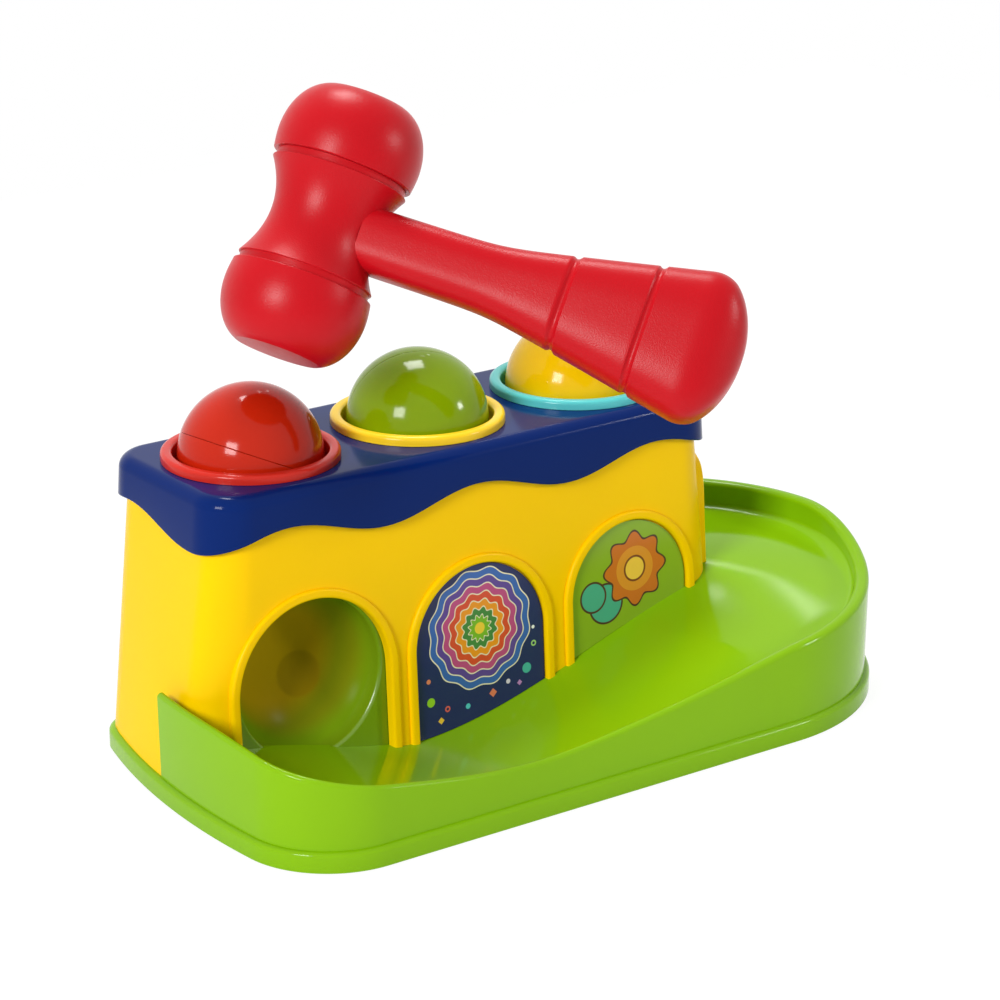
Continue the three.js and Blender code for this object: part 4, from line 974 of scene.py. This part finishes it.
class Print:
    """A picture drawn by shader nodes on a panel, in millimetres along and up the front wall."""

    def __init__(self, name, middle, ground):
        self.material = bpy.data.materials.new(name)
        self.material.use_nodes = True
        self.tree = self.material.node_tree
        place = self.tree.nodes.new("ShaderNodeTexCoord")
        axes = self.tree.nodes.new("ShaderNodeSeparateXYZ")
        self.tree.links.new(place.outputs["Object"], axes.inputs[0])
        self.along = self.step("MULTIPLY_ADD", axes.outputs["X"], 1 / MM, -middle)
        self.up = self.step("MULTIPLY", axes.outputs["Z"], 1 / MM / math.cos(TILT))
        self.colour = linear(ground)

    def step(self, operation, *values):
        """One arithmetic node of the picture."""
        return arithmetic(self.tree, operation, *values)

    def polar(self, u, v):
        """Distance and angle from a point of the panel."""
        du = self.step("SUBTRACT", self.along, u)
        dv = self.step("SUBTRACT", self.up, v)
        reach = self.step("SQRT", self.step("MULTIPLY_ADD", du, du, self.step("MULTIPLY", dv, dv)))
        return reach, self.step("ARCTAN2", dv, du)

    def wavy(self, reach, angle, waves, swing):
        """Distance whose rings swing in and out a number of times on their way round."""
        wave = self.step("COSINE", self.step("MULTIPLY", angle, waves))
        return self.step("MULTIPLY_ADD", wave, swing, reach)

    def paint(self, inside, colour):
        """Lays a colour over what is there wherever inside is one."""
        mix = self.tree.nodes.new("ShaderNodeMix")
        mix.data_type = "RGBA"
        self.tree.links.new(inside, mix.inputs["Factor"])
        if isinstance(self.colour, tuple):
            mix.inputs[MIX_GROUND].default_value = self.colour
        else:
            self.tree.links.new(self.colour, mix.inputs[MIX_GROUND])
        mix.inputs[MIX_LAYER].default_value = linear(colour)
        self.colour = mix.outputs[MIX_RESULT]

    def edge(self, reach, limit):
        """One inside a limit and zero outside, with a border a tenth of a millimetre wide."""
        step = self.tree.nodes.new("ShaderNodeMapRange")
        step.inputs["From Min"].default_value = -INK_EDGE
        step.inputs["From Max"].default_value = INK_EDGE
        self.tree.links.new(self.step("SUBTRACT", limit, reach), step.inputs["Value"])
        return step.outputs["Result"]

    def dot(self, u, v, radius, colour, hole=0.0):
        """A round dot, or a ring where it has a hole."""
        reach, _ = self.polar(u, v)
        inside = self.edge(reach, radius)
        if hole:
            inside = self.step("SUBTRACT", inside, self.edge(reach, hole))
        self.paint(inside, colour)

    def diamond(self, u, v, size, colour):
        """A small square standing on its corner."""
        du = self.step("ABSOLUTE", self.step("SUBTRACT", self.along, u))
        dv = self.step("ABSOLUTE", self.step("SUBTRACT", self.up, v))
        self.paint(self.edge(self.step("ADD", du, dv), size), colour)

    def finish(self, gloss):
        """Connects the picture to a glossy film whose gloss is slightly uneven."""
        shader = self.tree.nodes["Principled BSDF"]
        skin = self.tree.nodes.new("ShaderNodeGroup")
        skin.node_tree = skin_group
        skin.inputs["Gloss"].default_value = gloss
        skin.inputs["Mottle"].default_value = 0.05
        self.tree.links.new(self.colour, skin.inputs["Tint"])
        self.tree.links.new(skin.outputs["Colour"], shader.inputs["Base Color"])
        self.tree.links.new(skin.outputs["Roughness"], shader.inputs["Roughness"])
        return self.material


def target_print():
    """Wavy rainbow bands round a point, each parted from the next by a cream line, on navy with dots."""
    picture = Print("navy_picture_film", 0.0, (22, 30, 92))
    reach, angle = picture.polar(*TARGET_MIDDLE)
    wavy = picture.wavy(reach, angle, TARGET_WAVES, TARGET_SWING)
    for k in range(len(TARGET_BANDS), 0, -1):
        limit = TARGET_CORE + TARGET_BAND * k
        picture.paint(picture.edge(wavy, limit), (238, 226, 196))
        picture.paint(picture.edge(wavy, limit - TARGET_LINE), TARGET_BANDS[k - 1])
    picture.paint(picture.edge(reach, TARGET_EYE), (244, 206, 60))
    for dot in TARGET_DOTS:
        picture.dot(*dot)
    for diamond in TARGET_DIAMONDS:
        picture.diamond(*diamond)
    return picture.finish(gloss=0.3)


def flower_print():
    """A round flower whose edge swings out and in eight times, with a dark outline and two leaves."""
    picture = Print("green_picture_film", RIGHT_ARCH_X, (138, 172, 28))
    for u, v, radius in LEAVES:
        picture.dot(u, v, radius + LEAF_LINE, (72, 40, 34))
        picture.dot(u, v, radius, (70, 168, 138))
    reach, angle = picture.polar(*FLOWER_MIDDLE)
    petals = picture.wavy(reach, angle, FLOWER_PETALS, -FLOWER_SWING)
    for limit, colour in FLOWER_EDGES:
        picture.paint(picture.edge(petals, limit), colour)
    for limit, colour in FLOWER_RINGS:
        picture.paint(picture.edge(reach, limit), colour)
    return picture.finish(gloss=0.22)


def film(name, arch, material):
    """An arch-shaped film whose foot follows the ramp a little above it."""
    x, radius, top = arch[0], arch[1] - FILM_CLEARANCE, arch[2] - FILM_CLEARANCE
    across = np.linspace(-radius, radius, FILM_FOOT_STEPS + 2)[1:-1]
    foot = floor_at_wall(x + across) + FILM_GAP
    line = arch_line(radius, top, 0.0)
    line[0, 1] = floor_at_wall(x + radius) + FILM_GAP
    line[-1, 1] = floor_at_wall(x - radius) + FILM_GAP
    line = np.concatenate([line, np.stack([across, foot], -1)])
    rows = np.stack([np.column_stack([line, np.full(len(line), depth)]) for depth in FILM_DEPTHS])
    piece = mesh_piece(
        f"printed_{name}", on_front(x, rows).reshape(-1, 3), grid_faces(*rows.shape[:2], cap=True),
        "house", material, nodes=(name,),
    )
    outward(piece.data)


film("sticker_middle", ARCHES[1], target_print())
film("sticker_right", ARCHES[2], flower_print())

# Roof lid: the dark blue moulding of glossy plastic that closes the house. Its edge is rounded, a wavy
# skirt hangs over the walls, and three holes carry the ring collars.
ROOF_LENGTH = 94.7
ROOF_DEPTH = 32.7
ROOF_CORNER = 13.0
ROOF_PLATE = 2.2
ROOF_FILLET = 4.0
ROOF_MARGIN = 0.8
ROOF_INNER_FILLET = 1.2
SKIRT_MEAN = 15.4
SKIRT_WAVE = 3.3
SKIRT_WAVES = 7
SKIRT_ROUND = 0.7
HOLE_R = 25.9
STATIONS = 480


def roof_edge():
    """Evenly spaced points and outward normals on the roof's rounded rectangle, from the front's middle."""
    flat_x, flat_y = ROOF_LENGTH - ROOF_CORNER, ROOF_DEPTH - ROOF_CORNER
    quarter = math.pi * ROOF_CORNER / 2
    lengths = [flat_x, quarter, 2 * flat_y, quarter, 2 * flat_x, quarter, 2 * flat_y, quarter, flat_x]
    ends = np.concatenate([[0], np.cumsum(lengths)])
    run = np.arange(STATIONS) * ends[-1] / STATIONS
    turn = np.radians(np.interp(run, ends, [-90, -90, 0, 0, 90, 90, 180, 180, 270, 270]))
    normal = np.stack([np.cos(turn), np.sin(turn)], -1)
    core_x = np.interp(run, ends, flat_x * np.array([0, 1, 1, 1, 1, -1, -1, -1, -1, 0]))
    core_y = np.interp(run, ends, flat_y * np.array([-1, -1, -1, 1, 1, 1, 1, -1, -1, -1]))
    return np.stack([core_x, core_y], -1) + ROOF_CORNER * normal, normal, run / ends[-1]


# The section from the top plate over the rounded edge, down the skirt and back up inside: how far out of
# the edge, how deep below the top, and which share of the skirt's drop comes on top of that.
edge_p, edge_n, edge_share = roof_edge()
drop = SKIRT_MEAN - SKIRT_WAVE * np.cos(2 * math.pi * SKIRT_WAVES * edge_share)
section = [(-ROOF_FILLET - ROOF_MARGIN, 0.0, 0.0)]
section += [(-ROOF_FILLET * (1 - c), ROOF_FILLET * (1 - s), 0.0) for c, s in arc_steps(90, 0, 13)]
section += [(-SKIRT_ROUND * (1 - c), -SKIRT_ROUND * (1 + s), 1.0) for c, s in arc_steps(0, -90, 6)]
section += [
    (-ROOF_PLATE + SKIRT_ROUND * (1 + c), -SKIRT_ROUND * (1 + s), 1.0) for c, s in arc_steps(-90, -180, 6)
]
section += [
    (-ROOF_PLATE, ROOF_PLATE + ROOF_INNER_FILLET, 0.0),
    (-ROOF_PLATE - ROOF_INNER_FILLET, ROOF_PLATE, 0.0),
    (-ROOF_FILLET - ROOF_MARGIN, ROOF_PLATE, 0.0),
]
shape = np.array(section)
depth = shape[None, :, 1] + shape[None, :, 2] * drop[:, None]
drafted = (shape[None, :, 1] != 0) & (shape[None, :, 0] > -ROOF_FILLET)
out = shape[None, :, 0] + DRAFT * depth * drafted
lid = np.concatenate([
    edge_p[:, None] + edge_n[:, None] * out[..., None],
    (ROOF_TOP - depth)[..., None],
], -1)
cols = lid.shape[1]
holes = np.stack([HOLE_R * round_line + np.array([x, 0.0]) for x in (-PITCH, 0.0, PITCH)])
hole_count = len(holes) * ROUND_STEPS
hole_first = STATIONS * cols
points = [lid.reshape(-1, 3)]
points += [
    np.concatenate([holes.reshape(-1, 2), np.full((hole_count, 1), z)], -1)
    for z in (ROOF_TOP, ROOF_TOP - ROOF_PLATE)
]
faces = grid_faces(STATIONS, cols, wrap_rows=True, wrap_cols=False)
loops = [flat_loop(lid[:, 0, :2])] + [flat_loop(hole) for hole in holes]
for column, first in ((0, hole_first), (cols - 1, hole_first + hole_count)):
    for tri in tessellate_polygon(loops):
        faces.append([k * cols + column if k < STATIONS else first + k - STATIONS for k in tri])
for k in range(len(holes)):
    here = hole_first + ROUND_STEPS * k + np.arange(ROUND_STEPS)
    after = hole_first + ROUND_STEPS * k + (np.arange(ROUND_STEPS) + 1) % ROUND_STEPS
    faces += np.stack([here, after, after + hole_count, here + hole_count], -1).tolist()
roof_blue = plastic("roof_blue_gloss", (2, 35, 102), gloss=0.12, rub=0.05, wave=0.0002, mirror=0.09)
roof = mesh_piece(
    "roof_cover", np.concatenate(points), faces, "house", roof_blue, nodes=("roof_lid",),
)
tidy_normals(roof)

# Ring collars: three glossy plastic rings set into the roof's holes, each in its own colour. A rounded
# brim lies on the roof, and a thin sleeve reaches down through the hole.
RING_IN = 23.9
RING_SLEEVE = 25.6
RING_OUT = 27.6
RING_TOP = 99.4
RING_ROUND = 1.3
RING_SEAT = 96.5
SLEEVE_LOW = 89.63
RING_STEPS = 144
RINGS = (
    ("left", -PITCH, (206, 44, 32), "ring_red"),
    ("middle", 0.0, (255, 214, 40), "ring_yellow"),
    ("right", PITCH, (92, 204, 204), "ring_turquoise"),
)


def lathe(name, profile, count, body, material, place, sharp=32, nodes=()):
    """A closed profile of radius and height turned about the vertical, then turned and moved to its
    place."""
    profile = np.array(profile)
    a = np.linspace(0, 2 * math.pi, count, endpoint=False)
    spin = np.stack([np.cos(a), np.sin(a)], -1)
    rows = np.concatenate([
        spin[:, None] * profile[None, :, :1],
        np.broadcast_to(profile[None, :, 1:], (count, len(profile), 1)),
    ], -1).reshape(-1, 3)
    faces = grid_faces(count, len(profile), wrap_rows=True)
    piece = mesh_piece(name, rows @ place[0].T + place[1], faces, body, material, sharp, nodes)
    work = bmesh.new()
    work.from_mesh(piece.data)
    bmesh.ops.remove_doubles(work, verts=work.verts, dist=1e-7)
    bmesh.ops.dissolve_degenerate(work, edges=work.edges, dist=1e-8)
    bmesh.ops.recalc_face_normals(work, faces=work.faces)
    work.to_mesh(piece.data)
    work.free()
    piece.data.shade_smooth()
    piece.data.set_sharp_from_angle(angle=math.radians(sharp))
    return piece


brim_z = RING_TOP - RING_ROUND
collar = [(RING_IN, SLEEVE_LOW)]
collar += [(RING_IN + RING_ROUND * (1 + c), brim_z + RING_ROUND * s) for c, s in arc_steps(180, 90, 9)]
collar += [(RING_OUT - RING_ROUND * (1 - c), brim_z + RING_ROUND * s) for c, s in arc_steps(90, 0, 9)]
collar += [(RING_OUT, RING_SEAT), (RING_SLEEVE, RING_SEAT), (RING_SLEEVE, SLEEVE_LOW)]
for name, x, colour, slot in RINGS:
    finish = plastic(f"ring_{name}_gloss", colour, gloss=0.16, glow=0.05)
    place = (np.eye(3), np.array([x, 0, 0]))
    lathe(f"ring_collar_{name}", collar, RING_STEPS, "house", finish, place, nodes=(f"ring_{name}",))

# Ball grips: rings of soft plastic under the collars, in the collars' colours. Each holds a ball in its
# hole until the ball is struck.
for name, _, colour, _ in RINGS:
    dress(f"grip_{name}", plastic(f"grip_{name}_soft", colour, gloss=0.6, grain=0.6))

# Balls: three hollow balls of glossy plastic that rest in the rings. Each is two moulded halves, joined at
# a fine seam, which leans a different way on each ball.
BALL_R = 22.5
BALL_WALL = 1.6
BALL_Z = 97.0
BALL_STEPS = 128
SEAM_GAP = 0.05
SEAM_ROUND = 0.15
BALLS = (
    ("left", -PITCH, (190, 36, 10), "ball_red", (-0.079, 0.448)),
    ("middle", 0.0, (124, 156, 2), "ball_green", (1.665, -0.441)),
    ("right", PITCH, (242, 194, 4), "ball_yellow", (0.0, 0.0)),
)


def turn_x(angle):
    """Matrix of a turn about X."""
    c, s = math.cos(angle), math.sin(angle)
    return np.array([[1, 0, 0], [0, c, -s], [0, s, c]])


def turn_y(angle):
    """Matrix of a turn about Y."""
    c, s = math.cos(angle), math.sin(angle)
    return np.array([[c, 0, s], [0, 1, 0], [-s, 0, c]])


inner_r = BALL_R - BALL_WALL
seam_start = math.degrees(math.asin((SEAM_GAP + SEAM_ROUND) / BALL_R))
half = [(BALL_R * c, BALL_R * s) for c, s in arc_steps(90, seam_start, 40)]
half += [
    (BALL_R - SEAM_ROUND * (1 - c), SEAM_GAP + SEAM_ROUND * (1 - s)) for c, s in arc_steps(0, 90, 6)[1:]
]
half += [(inner_r * c, inner_r * s + SEAM_GAP) for c, s in arc_steps(0, 90, 20)]
half[0] = (0.0, BALL_R)
half[-1] = (0.0, inner_r + SEAM_GAP)
for name, x, colour, slot, seam in BALLS:
    finish = plastic(f"ball_{name}_gloss", colour, gloss=0.12, rub=0.05, glow=0.05)
    lean = turn_x(seam[0]) @ turn_y(seam[1])
    for part, flip in (("upper", np.eye(3)), ("lower", turn_x(math.pi))):
        lathe(
            f"ball_half_{name}_{part}", half, BALL_STEPS, f"ball_{name}", finish,
            (lean @ flip, np.array([x, 0, BALL_Z])), nodes=(f"ball_{name}_{part}",),
        )

# Hammer: a toy mallet moulded in satin red plastic. A waisted barrel ends in a groove beside each softly
# rounded cap, and a hollow handle widens from the boxy shaft to a flat, rounded grip with two grooves.
HEAD_PLACE = np.array([-41.45, -10.42, 168.0])
HEAD_HEADING = math.radians(-49.8)
HEAD_PITCH = math.radians(14.7)
HEAD_ROLL = math.radians(-28.4)
HEAD_STEPS = 128
BARREL_HALF = 17.65
BARREL_EDGE_ROUND = 0.3
WAIST_R = 16.1
BARREL_END_R = 21.2
JOINT_GROOVE_R = 20.3
JOINT_GROOVE_WIDTH = 2.1
CAP_START = 17.75
CAP_END = 40.6
CAP_EDGE_R = 21.7
CAP_EDGE_ROUND = 0.45
CAP_R = 22.28
CAP_FACE_R = 10.0
CAP_BELLY = 24.1
CAP_CROWN = 17.1
HANDLE_REACH = 132.3
HANDLE_SINK = 3.0
HANDLE_STEPS = 200
HANDLE_SIDES = 96
SHAFT_HALF = 9.8
GRIP_HALF_HEIGHT = 24.4
GRIP_HALF_WIDTH = 13.5
GRIP_START = 55.0
GRIP_ROUND = 16.0
GRIP_ROUND_STEPS = 24
GRIP_GROOVES = (77.0, 102.0)
GROOVE_HALF = 1.3
GROOVE_DEPTH = 0.8
GRIP_TIP_SHARE = 0.02
FLARE_BLEND = 0.12
BOXINESS = 0.62


def turn_z(angle):
    """Matrix of a turn about Z."""
    c, s = math.cos(angle), math.sin(angle)
    return np.array([[c, -s, 0], [s, c, 0], [0, 0, 1]])


def signed_power(value, exponent):
    """A power that keeps the sign of its base."""
    return np.sign(value) * np.abs(value) ** exponent


def handle_rows():
    """Superellipse rings: height and width grow along the grip, dip at each groove and close in a dome."""
    start = HANDLE_REACH - GRIP_ROUND
    dome = np.sin(np.linspace(0, math.pi / 2, GRIP_ROUND_STEPS))
    x = np.concatenate([
        np.linspace(WAIST_R - HANDLE_SINK, start, HANDLE_STEPS),
        start + GRIP_ROUND * dome[1:],
    ])
    flare = (x - GRIP_START) / (HANDLE_REACH - GRIP_ROUND / 2 - GRIP_START)
    grip = np.minimum((flare + np.sqrt(flare ** 2 + FLARE_BLEND ** 2)) / 2, 1)
    past = np.maximum(0, x - start) / GRIP_ROUND
    close = np.sqrt(np.maximum(GRIP_TIP_SHARE ** 2, 1 - past ** 2))
    groove = sum(np.maximum(0, 1 - ((x - at) / GROOVE_HALF) ** 2) for at in GRIP_GROOVES)
    height = (SHAFT_HALF + (GRIP_HALF_HEIGHT - SHAFT_HALF) * grip - GROOVE_DEPTH * groove) * close
    width = (SHAFT_HALF + (GRIP_HALF_WIDTH - SHAFT_HALF) * grip - GROOVE_DEPTH * groove) * close
    a = np.linspace(0, 2 * math.pi, HANDLE_SIDES, endpoint=False)
    return np.stack([
        np.broadcast_to(x[:, None], (len(x), HANDLE_SIDES)),
        width[:, None] * signed_power(np.cos(a), BOXINESS),
        height[:, None] * signed_power(np.sin(a), BOXINESS),
    ], -1)


hammer_red = plastic("hammer_red_satin", (192, 11, 24), gloss=0.32, rub=0.1, grain=0.25, glow=0.05)
head_turn = turn_z(HEAD_HEADING) @ turn_y(HEAD_PITCH) @ turn_x(HEAD_ROLL)
head = (head_turn, HEAD_PLACE)
head_over = (head_turn @ turn_x(math.pi), HEAD_PLACE)
lip = BARREL_HALF - JOINT_GROOVE_WIDTH
round_z = lip - BARREL_EDGE_ROUND
z = np.linspace(-round_z, round_z, 41)
side = np.stack([WAIST_R + (BARREL_END_R - WAIST_R) * (z / lip) ** 2, z], -1).tolist()
round_r = side[-1][0] - BARREL_EDGE_ROUND
turn_in = [
    (round_r + BARREL_EDGE_ROUND * c, round_z + BARREL_EDGE_ROUND * s) for c, s in arc_steps(15, 90, 5)
]
turn_in += [(JOINT_GROOVE_R, lip), (JOINT_GROOVE_R, BARREL_HALF), (0.0, BARREL_HALF)]
barrel = [(r, -h) for r, h in turn_in[::-1]] + side + turn_in
lathe(
    "mallet_barrel", barrel, HEAD_STEPS, "hammer", hammer_red, head, nodes=("hammer_barrel",),
)
cap_edge = CAP_EDGE_R - CAP_EDGE_ROUND
cap_low = CAP_START + CAP_EDGE_ROUND
cap = [(0.0, CAP_START), (cap_edge, CAP_START)]
cap += [(cap_edge + CAP_EDGE_ROUND * c, cap_low + CAP_EDGE_ROUND * s) for c, s in arc_steps(-72, 0, 5)]
swell = np.linspace(0.1, 1, 8)
cap += np.stack([
    CAP_EDGE_R + (CAP_R - CAP_EDGE_R) * np.sin(swell * math.pi / 2),
    cap_low + (CAP_BELLY - cap_low) * swell,
], -1).tolist()
crown_r = CAP_R - CAP_FACE_R
crown_turn = math.degrees(math.asin((CAP_END - CAP_BELLY) / CAP_CROWN))
cap += [(CAP_FACE_R + crown_r * c, CAP_BELLY + CAP_CROWN * s) for c, s in arc_steps(4, crown_turn, 22)]
face_r = cap[-1][0]
cap += [(face_r * share, CAP_END) for share in (0.97, 0.66, 0.33, 0.0)]
for name, place in (("top", head), ("bottom", head_over)):
    lathe(
        f"mallet_cap_{name}", cap, HEAD_STEPS, "hammer", hammer_red, place, sharp=14,
        nodes=(f"hammer_cap_{name}",),
    )
handle = handle_rows()
handle_piece = mesh_piece(
    "mallet_handle", handle.reshape(-1, 3) @ head_turn.T + HEAD_PLACE,
    grid_faces(*handle.shape[:2], cap=True),
    "hammer", hammer_red, nodes=("hammer_handle",),
)
outward(handle_piece.data)
